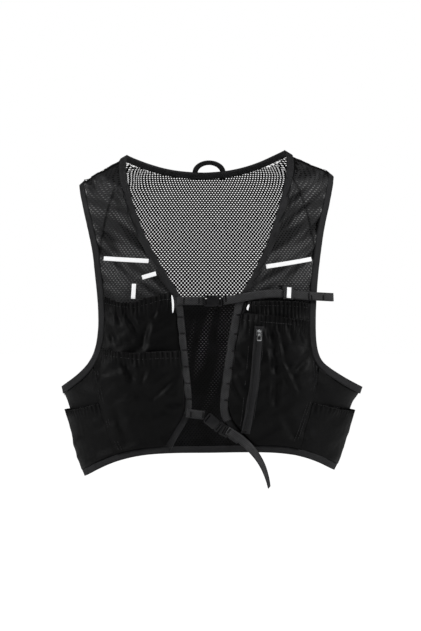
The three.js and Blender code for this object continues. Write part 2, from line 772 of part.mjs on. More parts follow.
// The turn just in front of or behind the ridge of the shoulder.
function ridgeTurn(side, down, onBack) {
  const depth = onBack
    ? backDepth * read(sections, "back", down)
    : frontDepth * read(sections, "front", down);
  const gap = onBack ? clearance / 2 : shoulderEase;
  const share = (gap / depth) ** (roundness / 2);
  return side * (Math.PI / 2 + (onBack ? share : -share));
}

// Of two turns, the one nearer to the front centre or to the back centre.
function nearer(a, b, onBack) {
  const closer = onBack ? Math.abs(a) > Math.abs(b) : Math.abs(a) < Math.abs(b);
  return closer ? a : b;
}

// The outer boundary of a front or back panel, from the shoulder tip down: beside the armhole's
// binding and then beside the seam.
function panelSide(lines, onBack) {
  const arm = onBack
    ? insetArmBack(lines, besideBinding + backEase)
    : insetArmFront(lines, besideBinding);
  const seam = onBack ? lines.seamBack : lines.seamFront;
  const top = Math.min(...arm.map((p) => p.down));
  const bottom = sections[sections.length - 2].down;
  const places = [];
  for (let i = 0; i <= sideSteps; i += 1) {
    const down = lerp(top, bottom, (i / sideSteps) ** 1.5);
    const ridge = ridgeTurn(lines.side, down, onBack);
    let turn = nearer(turnOn(arm, down), ridge, onBack);
    if (down > sideSeam[1].down) {
      const halfGap = (clearance / halfWidth) * (onBack ? lines.side : -lines.side);
      turn = nearer(turn, turnOn(seam, down) + halfGap, onBack);
      if (down > armholeBottom) turn = turnOn(seam, down) + halfGap;
    }
    places.push({ turn, down });
  }
  return places;
}

// Bounds of the front panel on one side.
function frontBounds(lines) {
  const start = insetEdge(lines, besideBinding);
  const end = panelSide(lines, false);
  const flat = insetHemFront(lines, besideBinding);
  return boundsBetween(start, end, flat, ridgeLine(lines, start[0].down, end[0].down, false));
}

// The ridge of the shoulder between two heights.
function ridgeLine(lines, from, to, onBack) {
  const places = [];
  for (let i = 0; i <= 12; i += 1) {
    const down = lerp(from, to, i / 12);
    places.push({ turn: ridgeTurn(lines.side, down, onBack), down });
  }
  return places;
}

// Four lines that meet at their corners.
function boundsBetween(start, end, flat, top) {
  const a = top[0];
  const b = top[top.length - 1];
  const c = meet(start, flat);
  const d = meet(end, flat);
  return {
    top,
    bottom: stretch(flat, c, d, "turn"),
    start: stretch(start, a, c, "down"),
    end: stretch(end, b, d, "down"),
  };
}

// A pocket's mouth line, with its ends moved onto the lines that it runs between.
function mouthBetween(line, start, end) {
  const first = { down: line[0].down, turn: turnOn(start, line[0].down) };
  const last = { down: line[line.length - 1].down, turn: turnOn(end, line[line.length - 1].down) };
  return stretch(line, first, last, "turn");
}

// How far a point's place lies from a fold, and how deep the fold is there.
function foldAt(pocketName, place) {
  const here = skin(place.turn, place.down);
  let depth = 0;
  for (const fold of folds.filter((row) => row.on === pocketName)) {
    const x = Math.abs(here.x);
    const z = place.down * bodyHeight;
    const ax = fold.x0 * halfWidth;
    const az = fold.d0 * bodyHeight;
    const bx = fold.x1 * halfWidth - ax;
    const bz = fold.d1 * bodyHeight - az;
    const t = THREE.MathUtils.clamp(((x - ax) * bx + (z - az) * bz) / (bx * bx + bz * bz), 0, 1);
    const miss = Math.hypot(x - ax - t * bx, z - az - t * bz);
    depth += fold.depth * foldDepth * Math.exp(-((miss / fold.breadth / foldBreadth) ** 2));
  }
  return depth;
}

const plateau = (t) => 1 - Math.abs(2 * t - 1) ** 3;

// How far a pocket's face stands off what it is sewn to, at a place.
function puff(pocket, place) {
  const a = turnOn(pocket.start, place.down);
  const b = turnOn(pocket.end, place.down);
  const u = THREE.MathUtils.clamp((place.turn - a) / (b - a), 0, 1);
  const from = pocket.mouthDown;
  const v = THREE.MathUtils.clamp((place.down - from) / (pocket.bottomDown - from), 0, 1);
  const held = plateau(u) * (1 - v ** 2);
  return Math.max(0, held * (pocket.gape - foldAt(pocket.name, place)));
}

// The lift of a pocket's inner face, over whatever lies beneath it.
function pocketLift(pocket, place) {
  const under = pocket.over ? pocketLift(pocket.over, place) + clothThickness : clothThickness;
  return under + layerGap + puff(pocket, place);
}

function pocketGeometry(pocket) {
  const bounds = boundsBetween(pocket.start, pocket.end, pocket.flat, pocket.mouth);
  const shape = (place, u, v, i) => {
    const depthBelow = v * (pocket.bottomDown - pocket.mouthDown) * bodyHeight;
    const fade = Math.max(0, 1 - depthBelow / gatherReach) * plateau(u);
    const gather = gatherDepth * fade * (i % 2);
    const rim = depthBelow < rimHeight ? rimThickness - clothThickness : 0;
    return { lift: pocketLift(pocket, place) + gather, thickness: clothThickness + rim };
  };
  return sheetGeometry(bounds, pocket, shape);
}

const webWidthOf = (lines) => (lines.side < 0 ? slimWebbingWidth : webbingWidth);
const right = linesOf(-1);
const left = linesOf(1);
const sideLines = [right, left];
const flatShape = () => ({ lift: 0, thickness: clothThickness });
const wholeTurn = 2 * Math.PI;
const shifted = (line, turn) => line.map((p) => ({ turn: p.turn + turn, down: p.down }));

// Solids for the booleans
function solidFrom(geometry) {
  const bare = geometry.index ? geometry.toNonIndexed() : geometry.clone();
  bare.deleteAttribute("normal");
  bare.deleteAttribute("uv");
  const merged = mergeVertices(bare, 1e-4);
  return new wasm.Manifold(
    new wasm.Mesh({
      numProp: 3,
      vertProperties: merged.attributes.position.array,
      triVerts: new Uint32Array(merged.index.array),
    }),
  );
}

function geometryFrom(solid) {
  const { numProp, vertProperties, triVerts } = solid.getMesh();
  const geometry = new THREE.BufferGeometry();
  const positions = new Float32Array((vertProperties.length / numProp) * 3);
  for (let i = 0; i < positions.length / 3; i += 1) {
    positions.set(vertProperties.subarray(i * numProp, i * numProp + 3), i * 3);
  }
  geometry.setAttribute("position", new THREE.BufferAttribute(positions, 3));
  geometry.setIndex(new THREE.BufferAttribute(triVerts, 1));
  geometry.computeVertexNormals();
  return geometry;
}

// How far a cut's edges may be straightened, so that it leaves no splinters
const cutTolerance = 0.05;

// The geometry with the cutters taken away. Loose slivers that a cut leaves are dropped.
function cutAway(geometry, cutters) {
  let solid = solidFrom(geometry);
  let touched = false;
  for (const cutter of cutters.map(solidFrom)) {
    if (solid.intersect(cutter).isEmpty()) continue;
    solid = solid.subtract(cutter);
    touched = true;
  }
  if (!touched) return geometry;
  const pieces = solid.decompose().sort((a, b) => b.volume() - a.volume());
  return geometryFrom(pieces[0].simplify(cutTolerance));
}

// Bindings: folded tapes that wrap the cloth's edges. Each lies with its outer edge on its line,
// and its room is the space that the cloth beside it leaves free.
const rooms = {};
function addBinding(name, line, count, closed = false) {
  const wrap = { width: bindingWidth, thickness: bindingThickness, lift: -bindingSink };
  const band = lineBand(line, { ...wrap, count, closed });
  addMesh(name, cutAway(band, Object.values(rooms)), tape());
  const play = clearance * 0.75;
  rooms[name] = lineBand(line, {
    width: bindingWidth + 2 * play,
    thickness: bindingThickness + 2 * play,
    lift: -bindingSink - play,
    count,
    closed,
  });
}

for (const lines of sideLines) {
  const loop = inset(armholeLoop(lines), (bindingWidth / 2) * lines.side, true);
  addBinding("armhole_binding_" + lines.name, loop, bindingStations.armhole, true);
}
const neckLeft = insetNeck(left, bindingWidth / 2);
const neckRight = shifted(insetNeck(right, bindingWidth / 2), wholeTurn);
const neckEnd = (line, side) => {
  const { down } = line[line.length - 1];
  return { down, turn: ridgeTurn(side, down, true) + (side < 0 ? wholeTurn : 0) };
};
addBinding(
  "neck_binding",
  [
    neckEnd(neckLeft, 1),
    ...neckLeft.slice(1, -1).reverse(),
    ...neckRight.slice(1, -1),
    neckEnd(neckRight, -1),
  ],
  bindingStations.neck,
);

// The hem's binding: one stretch on each side, from the front opening to the back panel's seam,
// and one across the back.
const hemTurn = (lines) => {
  const seam = meet(lines.seamBack, insetHemBack(lines, bindingWidth));
  return seam.turn;
};
for (const lines of sideLines) {
  const front = insetHemFront(lines, bindingWidth / 2);
  const back = insetHemBack(lines, bindingWidth / 2);
  const start = meet(inset(lines.edge, clearance * -lines.side), front);
  const ahead = front.filter((p) => Math.abs(p.turn) > Math.abs(start.turn));
  const behind = back.filter((p) => Math.abs(p.turn) < Math.abs(hemTurn(lines)));
  const run = [start, ...ahead.slice(0, -1), ...behind.slice(0, -1).reverse()];
  const halfGap = (clearance / halfWidth) * lines.side;
  run.push({ turn: hemTurn(lines) - halfGap, down: downOn(back, hemTurn(lines)) });
  addBinding("hem_binding_" + lines.name, run, bindingStations.sideHem);
}
const hemBackLine = [
  ...insetHemBack(left, bindingWidth / 2)
    .filter((p) => p.turn > hemTurn(left))
    .reverse(),
  ...shifted(insetHemBack(right, bindingWidth / 2), wholeTurn)
    .filter((p) => p.turn < hemTurn(right) + wholeTurn)
    .slice(1),
];
addBinding("hem_binding_back", hemBackLine, bindingStations.backHem);

for (const lines of sideLines) {
  const edge = insetEdge(lines, bindingWidth / 2);
  const end = meet(edge, insetHemFront(lines, bindingWidth / 2));
  const start = { down: edge[0].down, turn: ridgeTurn(lines.side, edge[0].down, false) };
  const run = stretch(edge, start, end, "down");
  addBinding("front_binding_" + lines.name, run, bindingStations.front);
}

const bindingRooms = Object.values(rooms);
const trim = (geometry) => cutAway(geometry, bindingRooms);

// Base cloth: the front panels, the side panels and the back panel.
for (const lines of sideLines) {
  const panel = sheetGeometry(frontBounds(lines), grids.frontPanel, flatShape);
  addMesh("front_panel_" + lines.name, trim(panel), meshCloth());
}

// The side panel's top edge, under the arm, between the two seams.
function underarmLine(lines) {
  const middle = Math.PI / 2;
  const low = (line) => line.filter((p) => p.down > sideSeam[0].down);
  const ahead = low(insetArmFront(lines, besideBinding)).filter((p) => Math.abs(p.turn) < middle);
  const behind = low(insetArmBack(lines, besideBinding)).filter((p) => Math.abs(p.turn) > middle);
  return { ahead, behind };
}

function sideBounds(lines) {
  const halfGap = (clearance / halfWidth) * lines.side;
  const start = shifted(lines.seamFront, halfGap);
  const end = shifted(lines.seamBack, -halfGap);
  const { ahead, behind } = underarmLine(lines);
  const a = crossing(start, ahead);
  const b = crossing(end, behind);
  const top = [
    a,
    ...ahead.filter((p) => Math.abs(p.turn) > Math.abs(a.turn)),
    ...behind.filter((p) => Math.abs(p.turn) < Math.abs(b.turn)).reverse(),
    b,
  ];
  return boundsBetween(start, end, hemAround(lines), top);
}

// Where a seam meets the edge under the arm.
function crossing(steep, flat) {
  let best = flat[0];
  for (const place of flat) {
    const miss = Math.abs(turnOn(steep, place.down) - place.turn);
    if (miss < Math.abs(turnOn(steep, best.down) - best.turn)) best = place;
  }
  return { turn: turnOn(steep, best.down), down: best.down };
}

// The hem's inner line round one side, from the front centre to the back centre.
function hemAround(lines) {
  const front = insetHemFront(lines, besideBinding);
  const back = insetHemBack(lines, besideBinding);
  return [
    ...front.filter((p) => Math.abs(p.turn) < Math.PI / 2),
    ...back.filter((p) => Math.abs(p.turn) > Math.PI / 2).reverse(),
  ];
}
for (const lines of sideLines) {
  const panel = sheetGeometry(sideBounds(lines), grids.sidePanel, flatShape);
  addMesh("side_panel_" + lines.name, trim(panel), wovenCloth());
}

// The back panel's bounds, from the wearer's left shoulder to the right one.
const hemBackInner = [
  ...insetHemBack(left, besideBinding).reverse(),
  ...shifted(insetHemBack(right, besideBinding), wholeTurn).slice(1),
];
const backStart = panelSide(left, true);
const backEnd = shifted(panelSide(right, true), wholeTurn);
function backBounds() {
  const innerLeft = insetNeck(left, besideBinding);
  const innerRight = shifted(insetNeck(right, besideBinding), wholeTurn);
  const lastLeft = innerLeft[innerLeft.length - 1];
  const lastRight = innerRight[innerRight.length - 1];
  const top = [
    ...ridgeLine(left, backStart[0].down, lastLeft.down, true),
    ...innerLeft.slice(1, -1).reverse(),
    ...innerRight.slice(1, -1),
    ...shifted(ridgeLine(right, lastRight.down, backEnd[0].down, true), wholeTurn),
  ];
  return boundsBetween(backStart, backEnd, hemBackInner, top);
}
addMesh("back_panel", sheetGeometry(backBounds(), grids.backPanel, flatShape), meshCloth());

// Pockets. Each is sewn down at its sides and foot and open at its mouth.
function frontPocket(lines, key, gape, grid, over = null) {
  const name = key + "_" + lines.name;
  const start = insetEdge(lines, webWidthOf(lines) + clearance);
  const end = panelSide(lines, false);
  const flat = insetHemFront(lines, besideBinding);
  const line = routeLine(mouths[name], lines.side);
  const mouth = mouthBetween(line, start, end);
  const mouthDown = Math.min(...line.map((p) => p.down));
  const bottomDown = flat[0].down;
  return { name, start, end, flat, mouth, mouthDown, bottomDown, gape, over, ...grid };
}

function addPocket(pocket, label) {
  addMesh(label, trim(pocketGeometry(pocket)), wovenCloth());
}
const flaskRight = frontPocket(right, "flask", flaskGape, grids.flaskPocket);
const flaskLeft = frontPocket(left, "flask", flaskGape, grids.flaskPocket);
const stowRight = frontPocket(right, "stow", stowGape, grids.stowPocket, flaskRight);
const zipLeft = frontPocket(left, "zip", stowGape, grids.zipPocket, flaskLeft);
addPocket(flaskRight, "flask_pocket_right");
addPocket(flaskLeft, "flask_pocket_left");
addPocket(stowRight, "stow_pocket_right");
addPocket(zipLeft, "zip_pocket_left");

// A mouth's line over one side of the front or of the back.
function mouthLine(table, side, onBack) {
  const rows = table.map((row) => ({ ...row, at: row.down }));
  return lineAcross(rows, "at", side, onBack);
}

function sidePocket(lines) {
  const halfGap = (clearance / halfWidth) * lines.side;
  const start = shifted(lines.seamFront, halfGap);
  const end = shifted(lines.seamBack, -halfGap);
  const ahead = mouthLine(mouths.side, lines.side, false);
  const behind = mouthLine(mouths.side, lines.side, true).reverse();
  const flat = hemAround(lines);
  return {
    name: "side_" + lines.name,
    start,
    end,
    flat,
    mouth: mouthBetween([...ahead.slice(0, -1), ...behind], start, end),
    mouthDown: mouths.side[0].down,
    bottomDown: Math.min(...flat.map((p) => p.down)),
    gape: sideGape,
    ...grids.sidePocket,
  };
}
for (const lines of sideLines) addPocket(sidePocket(lines), "side_pocket_" + lines.name);

function backPocket() {
  const ofLeft = mouthLine(mouths.back, 1, true).reverse();
  const ofRight = shifted(mouthLine(mouths.back, -1, true), wholeTurn);
  const line = [...ofLeft, ...ofRight.slice(1)];
  return {
    name: "back",
    start: backStart,
    end: backEnd,
    flat: hemBackInner,
    mouth: mouthBetween(line, backStart, backEnd),
    mouthDown: mouths.back[2].down,
    bottomDown: hem[0].backRight - besideBinding / bodyHeight,
    gape: backGape,
    ...grids.backPocket,
  };
}
addPocket(backPocket(), "back_pocket");

// Gear loops: a webbing beside the front opening, tacked down at every pitch.
const overBinding = bindingThickness - bindingSink + clearance;
function addGearLoops(lines, from, to) {
  const line = insetEdge(lines, webWidthOf(lines) / 2);
  const ends = [from, to].map((down) => ({ down, turn: turnOn(line, down) }));
  const run = stretch(line, ends[0], ends[1], "down");
  const loops = Math.round(lineLength(run) / loopPitch);
  const lift = (place, share) => {
    const held = share * loops < 1 || share * loops > loops - 1;
    return overBinding + (held ? 0 : loopBow * Math.sin(Math.PI * share * loops) ** 2);
  };
  const size = { width: webWidthOf(lines), thickness: webbingThickness };
  addMesh("gear_loops_" + lines.name, lineBand(run, { ...size, lift, count: 3 * loops }), webbing());
}
addGearLoops(right, gearLoopTop, gearLoopEnd.right);
addGearLoops(left, gearLoopTop, gearLoopEnd.left);

// Straps that close the front
function placeOf({ across, down }) {
  return { turn: turnAt(Math.sign(across) || 1, Math.abs(across), down), down };
}
const overWebbing = overBinding + webbingThickness + clearance;

// A band along a route of places with a lift for each. from and to are shares of the route.
function routeBand(route, { width, thickness, count, raise = 0, from = 0, to = 1 }) {
  const last = route.length - 1;
  const stations = [];
  const rows = route.map((row, i) => ({ ...row, at: i / last }));
  const pointAt = (t) => {
    const across = read(rows, "across", t, "at");
    const place = placeOf({ across, down: read(rows, "down", t, "at") });
    const normal = outward(place.turn, place.down);
    return { place, normal, point: skin(place.turn, place.down, read(rows, "lift", t, "at") + raise) };
  };
  for (let k = 0; k <= count; k += 1) {
    const t = lerp(from, to, k / count);
    const { normal, point } = pointAt(t);
    const way = pointAt(Math.min(t + 0.01, 1)).point.sub(pointAt(Math.max(t - 0.01, 0)).point);
    way.normalize();
    const twist = rows[0].twist === undefined ? 0 : read(rows, "twist", t, "at");
    const turned = normal.clone().applyAxisAngle(way, twist);
    stations.push({ point, along: way, normal: turned, width, thickness });
  }
  return bandGeometry(stations);
}

const strap = { width: strapWidth, thickness: strapThickness };
const upperRight = upperStrapRight.map((row) => ({ ...row, lift: overWebbing }));
const upperLeft = upperStrapLeft.map((row) => ({
  ...row,
  lift: overWebbing + row.rise * strapRise,
}));
addMesh("upper_strap_right", routeBand(upperRight, { ...strap, count: 3 }), webbing());
addMesh("upper_strap_left", routeBand(upperLeft, { ...strap, count: 16 }), webbing());
const doubled = { ...strap, count: 5, raise: strapThickness + clearance, from: 0.86, to: 1 };
addMesh("upper_strap_end", routeBand(upperLeft, doubled), webbing());

// A group that stands on the body: x along the body, turned by tilt, and z outwards.
function seatOn(across, down, lift, tilt = 0) {
  const place = placeOf({ across, down });
  const z = outward(place.turn, place.down);
  const level = new THREE.Vector3(0, 0, 1).cross(z).normalize();
  const x = level.applyAxisAngle(z, tilt);
  const y = z.clone().cross(x);
  const group = new THREE.Group();
  group.quaternion.setFromRotationMatrix(new THREE.Matrix4().makeBasis(x, y, z));
  group.position.copy(skin(place.turn, place.down, lift));
  vest.add(group);
  return group;
}

function box(length, width, height, x = 0, y = 0, z = 0) {
  return new THREE.BoxGeometry(length, width, height).translate(x, y, z);
}

// A plate with rounded corners, its middle at the origin.
function plate(length, width, height, corner, x = 0) {
  const [a, b] = [length / 2, width / 2];
  const shape = new THREE.Shape();
  shape.moveTo(-a + corner, -b);
  shape.lineTo(a - corner, -b);
  shape.absarc(a - corner, -b + corner, corner, -Math.PI / 2, 0);
  shape.absarc(a - corner, b - corner, corner, 0, Math.PI / 2);
  shape.absarc(-a + corner, b - corner, corner, Math.PI / 2, Math.PI);
  shape.absarc(-a + corner, -b + corner, corner, Math.PI, 1.5 * Math.PI);
  const options = { depth: height, bevelEnabled: false, curveSegments: 3 };
  return new THREE.ExtrudeGeometry(shape, options).translate(x, 0, -height / 2);
}

function joined(geometries) {
  return geometryFrom(geometries.map(solidFrom).reduce((a, b) => a.add(b)));
}

// Side-release buckle. The socket's closed end lies at x = 0 and the buckle runs along +x.
const cavityHeight = buckleThickness - 2 * buckleWall;
const cavityWidth = buckleWidth - 2 * buckleWall;
const cavityLength = prongLength + clearance;
function socketGeometry() {
  const body = plate(buckleLength, buckleWidth, buckleThickness, buckleCorner, buckleLength / 2);
  const cavity = box(cavityLength, cavityWidth, cavityHeight, buckleLength - cavityLength / 2);
  const slot = box(slotWidth, strapWidth + clearance, buckleThickness, buckleWall + slotWidth / 2);
  return cutAway(body, [cavity.translate(0.01, 0, 0), slot.scale(1, 1, 1.2)]);
}

function plugGeometry() {
  const start = buckleLength + clearance;
  const base = plate(baseLength, buckleWidth, buckleThickness, buckleWall, start + baseLength / 2);
  const inside = cavityWidth / 2 - clearance - prongWidth / 2;
  const height = cavityHeight - 2 * clearance;
  const reach = prongLength + buckleWall;
  const middle = start - prongLength + reach / 2;
  const prongs = [-inside, inside].map((y) => box(reach, prongWidth, height, middle, y));
  const slotX = start + baseLength - buckleWall - slotWidth / 2;
  const slot = box(slotWidth, strapWidth + clearance, 1.2 * buckleThickness, slotX);
  return cutAway(joined([base, ...prongs]), [slot]);
}

function addBuckle(name, across, down, lift, tilt) {
  const seat = seatOn(across, down, lift, tilt);
  addMesh(name + "_socket", socketGeometry(), plastic(), seat);
  addMesh(name + "_plug", plugGeometry(), plastic(), seat);
}
const strapMiddle = overWebbing + strapThickness / 2;
addBuckle("upper_buckle", upperBuckle.across, upperBuckle.down, strapMiddle, upperBuckle.tilt);
addBuckle("lower_buckle", lowerBuckle.across, lowerBuckle.down, strapMiddle, lowerBuckle.tilt);

const elastic = { width: elasticWidth, thickness: strapThickness, count: 3 };
const lowerRight = lowerStrapRight.map((row) => ({ ...row, lift: overWebbing }));
addMesh("lower_strap_right", routeBand(lowerRight, elastic), webbing());
const lowerLeft = lowerStrapLeft.map((row) => ({
  ...row,
  lift: lerp(overWebbing, overBinding, row.settle),
}));
addMesh("lower_strap_left", routeBand(lowerLeft, { ...strap, count: 3 }), webbing());

// Ladder lock: a frame with two slots for the lower strap.
function lockGeometry() {
  const body = plate(lockLength, lockWidth, lockThickness, buckleWall);
  const bar = slotWidth / 2 + buckleWall / 2;
  const slots = [-bar, bar].map((x) => box(slotWidth, strapWidth, 2 * lockThickness, x));
  return cutAway(body, slots);
}
const lockSeat = seatOn(ladderLock.across, ladderLock.down, strapMiddle, ladderLock.tilt);
addMesh("ladder_lock", lockGeometry(), plastic(), lockSeat);
const tail = { width: strapWidth, thickness: tailThickness, count: 14 };
const tailRows = tailRoute.map((row) => ({ ...row, lift: row.stand * tailStand }));
addMesh("lower_strap_end", routeBand(tailRows, tail), webbing());

// Keeper: a short loop of webbing round the upper strap.
function keeperGeometry() {
  const roof = keeperRise + strapThickness + clearance;
  const tunnel = strapWidth + 2 * clearance;
  const height = roof + keeperWall;
  const above = keeperAbove + keeperWall;
  const tall = tunnel + keeperWall + above;
  const block = box(keeperWidth, tall, height, 0, (above - keeperWall) / 2, height / 2);
  return cutAway(block, [box(2 * keeperWidth, tunnel, 2 * roof)]);
}
const keeperSeat = seatOn(keeper.across, keeper.down, clothThickness + clearance, keeper.tilt);
addMesh("strap_keeper", keeperGeometry(), webbing(), keeperSeat);
const keeperTop = keeperRise + strapThickness + clearance + keeperWall + clearance;
const keeperStrip = box(stripWidth, strapWidth + keeperAbove, stripThickness);
keeperStrip.translate(0, keeperAbove / 2, keeperTop + stripThickness / 2);
addMesh("strip_keeper_left", keeperStrip, reflective(), keeperSeat);

// Zip: a tape down the front of the pocket, a slider and a pull that hinges on it.
const onZipPocket = (place, gap) => pocketLift(zipLeft, place) + clothThickness + gap;
const zipPlaces = routeLine(zipLine, 1);
const zipTape = lineBand(zipPlaces, {
  count: 12,
  width: zipTapeWidth,
  thickness: zipTapeThickness,
  lift: (place) => onZipPocket(place, 2 * clearance),
});
addMesh("zip_tape", zipTape, tape());
const sliderAcross = read(zipLine, "across", sliderDown);
const sliderPlace = placeOf({ across: sliderAcross, down: sliderDown });
const sliderLift = onZipPocket(sliderPlace, 3 * clearance) + zipTapeThickness;
const slider = seatOn(sliderAcross, sliderDown, sliderLift);

function sliderGeometry() {
  const body = plate(sliderWidth, sliderLength, sliderThickness, 1.2);
  body.translate(0, 0, sliderThickness / 2);
  const top = sliderThickness + hingeHeight + hingeRadius;
  const postX = (postGap + postWidth) / 2;
  const posts = [-postX, postX].map((x) =>
    box(postWidth, 2.6 * hingeRadius, top, x, hingeY, top / 2),
  );
  const pin = new THREE.CylinderGeometry(hingeRadius, hingeRadius, postGap + postWidth, 8);
  pin.rotateZ(Math.PI / 2).translate(0, hingeY, sliderThickness + hingeHeight);
  return joined([body, ...posts, pin]);
}

// The pull hangs from its eye, which lies at the origin with the hinge line along x.
function pullGeometry() {
  const hole = hingeRadius + hingePlay;
  const eyeWidth = postGap - 2 * clearance;
  const eye = new THREE.CylinderGeometry(hole + eyeWall, hole + eyeWall, eyeWidth, 12);
  const bore = new THREE.CylinderGeometry(hole, hole, 2 * eyeWidth, 12).rotateZ(Math.PI / 2);
  const tab = plate(pullWidth, pullLength, pullThickness, 1.6);
  const tabTop = hole + eyeWall + clearance;
  tab.translate(0, -tabTop - pullLength / 2, 0);
  const neck = box(eyeWidth, tabTop + 1, pullThickness, 0, -(tabTop + 1) / 2);
  const window = plate(pullWidth - 3, pullLength - 4.5, 2 * pullThickness, 0.8);
  window.translate(0, -tabTop - pullLength / 2 - 0.6, 0);
  return cutAway(joined([eye.rotateZ(Math.PI / 2), neck, tab]), [bore, window]);
}
addMesh("zip_slider", sliderGeometry(), metal(), slider);
const hinge = new THREE.Group();
hinge.name = "zip_pull_hinge";
hinge.position.set(0, hingeY, sliderThickness + hingeHeight);
slider.add(hinge);
addMesh("zip_pull", pullGeometry(), metal(), hinge);

// Hang loop: an arch of tape at the back of the neck, sewn over the neck's binding.
function hangLoopRoute() {
  const foot = neckEdge[0].right;
  const half = (hangLoopSpan - hangLoopWidth) / 2 / halfWidth;
  const rise = (hangLoopHeight - hangLoopWidth / 2) / bodyHeight;
  const sewn = bindingWidth / bodyHeight;
  const places = [];
  const steps = 16;
  for (let i = -2; i <= steps + 2; i += 1) {
    const angle = (Math.PI * THREE.MathUtils.clamp(i, 0, steps)) / steps;
    const beyond = i < 0 ? -i : Math.max(0, i - steps);
    const across = half * Math.cos(angle);
    const down = foot - rise * Math.sin(angle) + (beyond * sewn) / 2;
    const turn = turnAt(Math.sign(across) || 1, Math.abs(across), down, true);
    places.push({ turn: turn < 0 ? turn + wholeTurn : turn, down });
  }
  return places;
}
const loopSize = { width: hangLoopWidth, thickness: hangLoopThickness, lift: overBinding };
addMesh("hang_loop", lineBand(hangLoopRoute(), { ...loopSize, count: 18 }), tape());

// Reflective strips on the chest, and slim ones beside the gear loops.
for (const { name, side, x0, d0, x1, d1 } of strips) {
  const places = routeLine([{ across: x0, down: d0 }, { across: x1, down: d1 }], side);
  const size = { width: stripWidth, thickness: stripThickness, lift: clothThickness + clearance };
  addMesh(name, lineBand(places, { ...size, count: name.includes("long") ? 6 : 2 }), reflective());
}
for (const { name, side, x0, d0, x1, d1 } of slimStrips) {
  const pocket = side < 0 ? flaskRight : flaskLeft;
  const places = routeLine([{ across: x0, down: d0 }, { across: x1, down: d1 }], side);
  const lift = (place) => pocketLift(pocket, place) + rimThickness + clearance;
  const size = { width: slimStripWidth, thickness: stripThickness, lift, count: 3 };
  addMesh(name, lineBand(places, size), reflective());
}

export default vest;
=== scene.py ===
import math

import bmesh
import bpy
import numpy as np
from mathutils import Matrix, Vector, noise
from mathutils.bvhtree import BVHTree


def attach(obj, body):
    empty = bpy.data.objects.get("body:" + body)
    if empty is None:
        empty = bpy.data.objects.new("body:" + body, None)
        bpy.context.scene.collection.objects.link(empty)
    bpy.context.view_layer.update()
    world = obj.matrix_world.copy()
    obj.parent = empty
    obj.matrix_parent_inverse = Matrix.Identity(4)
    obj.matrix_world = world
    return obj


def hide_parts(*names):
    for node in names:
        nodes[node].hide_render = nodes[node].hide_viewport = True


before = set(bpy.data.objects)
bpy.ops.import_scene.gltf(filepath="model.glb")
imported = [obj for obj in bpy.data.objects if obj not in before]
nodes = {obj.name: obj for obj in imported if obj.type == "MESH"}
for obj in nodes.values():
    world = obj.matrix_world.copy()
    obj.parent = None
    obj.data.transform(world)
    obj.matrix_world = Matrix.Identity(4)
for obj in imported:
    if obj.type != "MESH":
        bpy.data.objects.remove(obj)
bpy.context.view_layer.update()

# %% [markdown]
# # A running vest of mesh and stretch cloth
#
# The vest hangs in the form that it has when worn. The solids of its straps, buckles and cloths
# come from the frame. This lesson gives the cloths their folds and gathers, knits the open mesh
# thread by thread, and adds the sewing: stitches, bar tacks, zip teeth and bevelled hardware.

MM = 0.001
scene = bpy.context.scene


def add_object(name, data):
    """A new object in the scene."""
    added = bpy.data.objects.new(name, data)
    scene.collection.objects.link(added)
    return added


# %% [markdown]
# The camera stands four metres in front of the chest and looks level, so that the shoulders, the
# pockets and the inside of the back show as in a catalogue picture. A long lens keeps the sides
# upright. The picture is 631 pixels high, and a pixel is 1.3 mm at the vest's middle.

# %% Camera
PICTURE_WIDTH, PICTURE_HEIGHT = 421, 631  # in pixels
PIXEL = 1.3 * MM  # what a pixel spans at the vest's middle
DISTANCE = 4.0
SENSOR = 36  # the sensor's longer side, in millimetres
AIM = Vector((1.95 * MM, 0, -189.2 * MM))
camera_data = bpy.data.cameras.new("camera")
camera_data.lens = SENSOR * DISTANCE / (PICTURE_HEIGHT * PIXEL)
camera = add_object("camera", camera_data)
camera.location = (AIM.x, -DISTANCE, AIM.z)
camera.rotation_euler = (math.pi / 2, 0, 0)
scene.camera = camera
print("lens in mm:", round(camera_data.lens, 1))


def on_front(px, py, depth=100 * MM):
    """The x and z, in metres, of a spot in the picture that lies depth in front of the axis."""
    scale = PIXEL * (1 - depth / DISTANCE)
    return AIM.x + (px - PICTURE_WIDTH / 2) * scale, AIM.z + (PICTURE_HEIGHT / 2 - py) * scale


# %% [markdown]
# The vest hangs in front of white, so the floor is a wide pale sheet below it and the world is
# white. Two large soft lamps stand in front at the left and right. They draw the thin highlights
# along the folds, which is all that shows the form of black cloth. A third lamp hangs high above
# the chest and lights the shoulders' edges. The Standard view transform shows a world of strength
# 1 as pure white, so that a pixel with half a thread and half a hole comes out half dark. The
# default one asks for a far brighter world, which washes the net out.

# %% Floor and light
FLOOR_SIZE = 60
FLOOR_LEVEL = -0.62
bpy.ops.object.select_all(action="DESELECT")
bpy.ops.mesh.primitive_plane_add(size=FLOOR_SIZE, location=(0, 0, FLOOR_LEVEL))
floor = bpy.context.object
floor.name = "floor"
pale = bpy.data.materials.new("pale_floor")
pale.use_nodes = True
floor_shader = pale.node_tree.nodes["Principled BSDF"]
floor_shader.inputs["Base Color"].default_value = (0.9, 0.9, 0.9, 1)
floor_shader.inputs["Roughness"].default_value = 0.9
floor_shader.inputs["Emission Color"].default_value = (1, 1, 1, 1)
floor.data.materials.append(pale)

world = bpy.data.worlds.new("white_room")
world.use_nodes = True
world.node_tree.nodes["Background"].inputs["Color"].default_value = (1, 1, 1, 1)
scene.world = world
scene.view_settings.view_transform = "Standard"


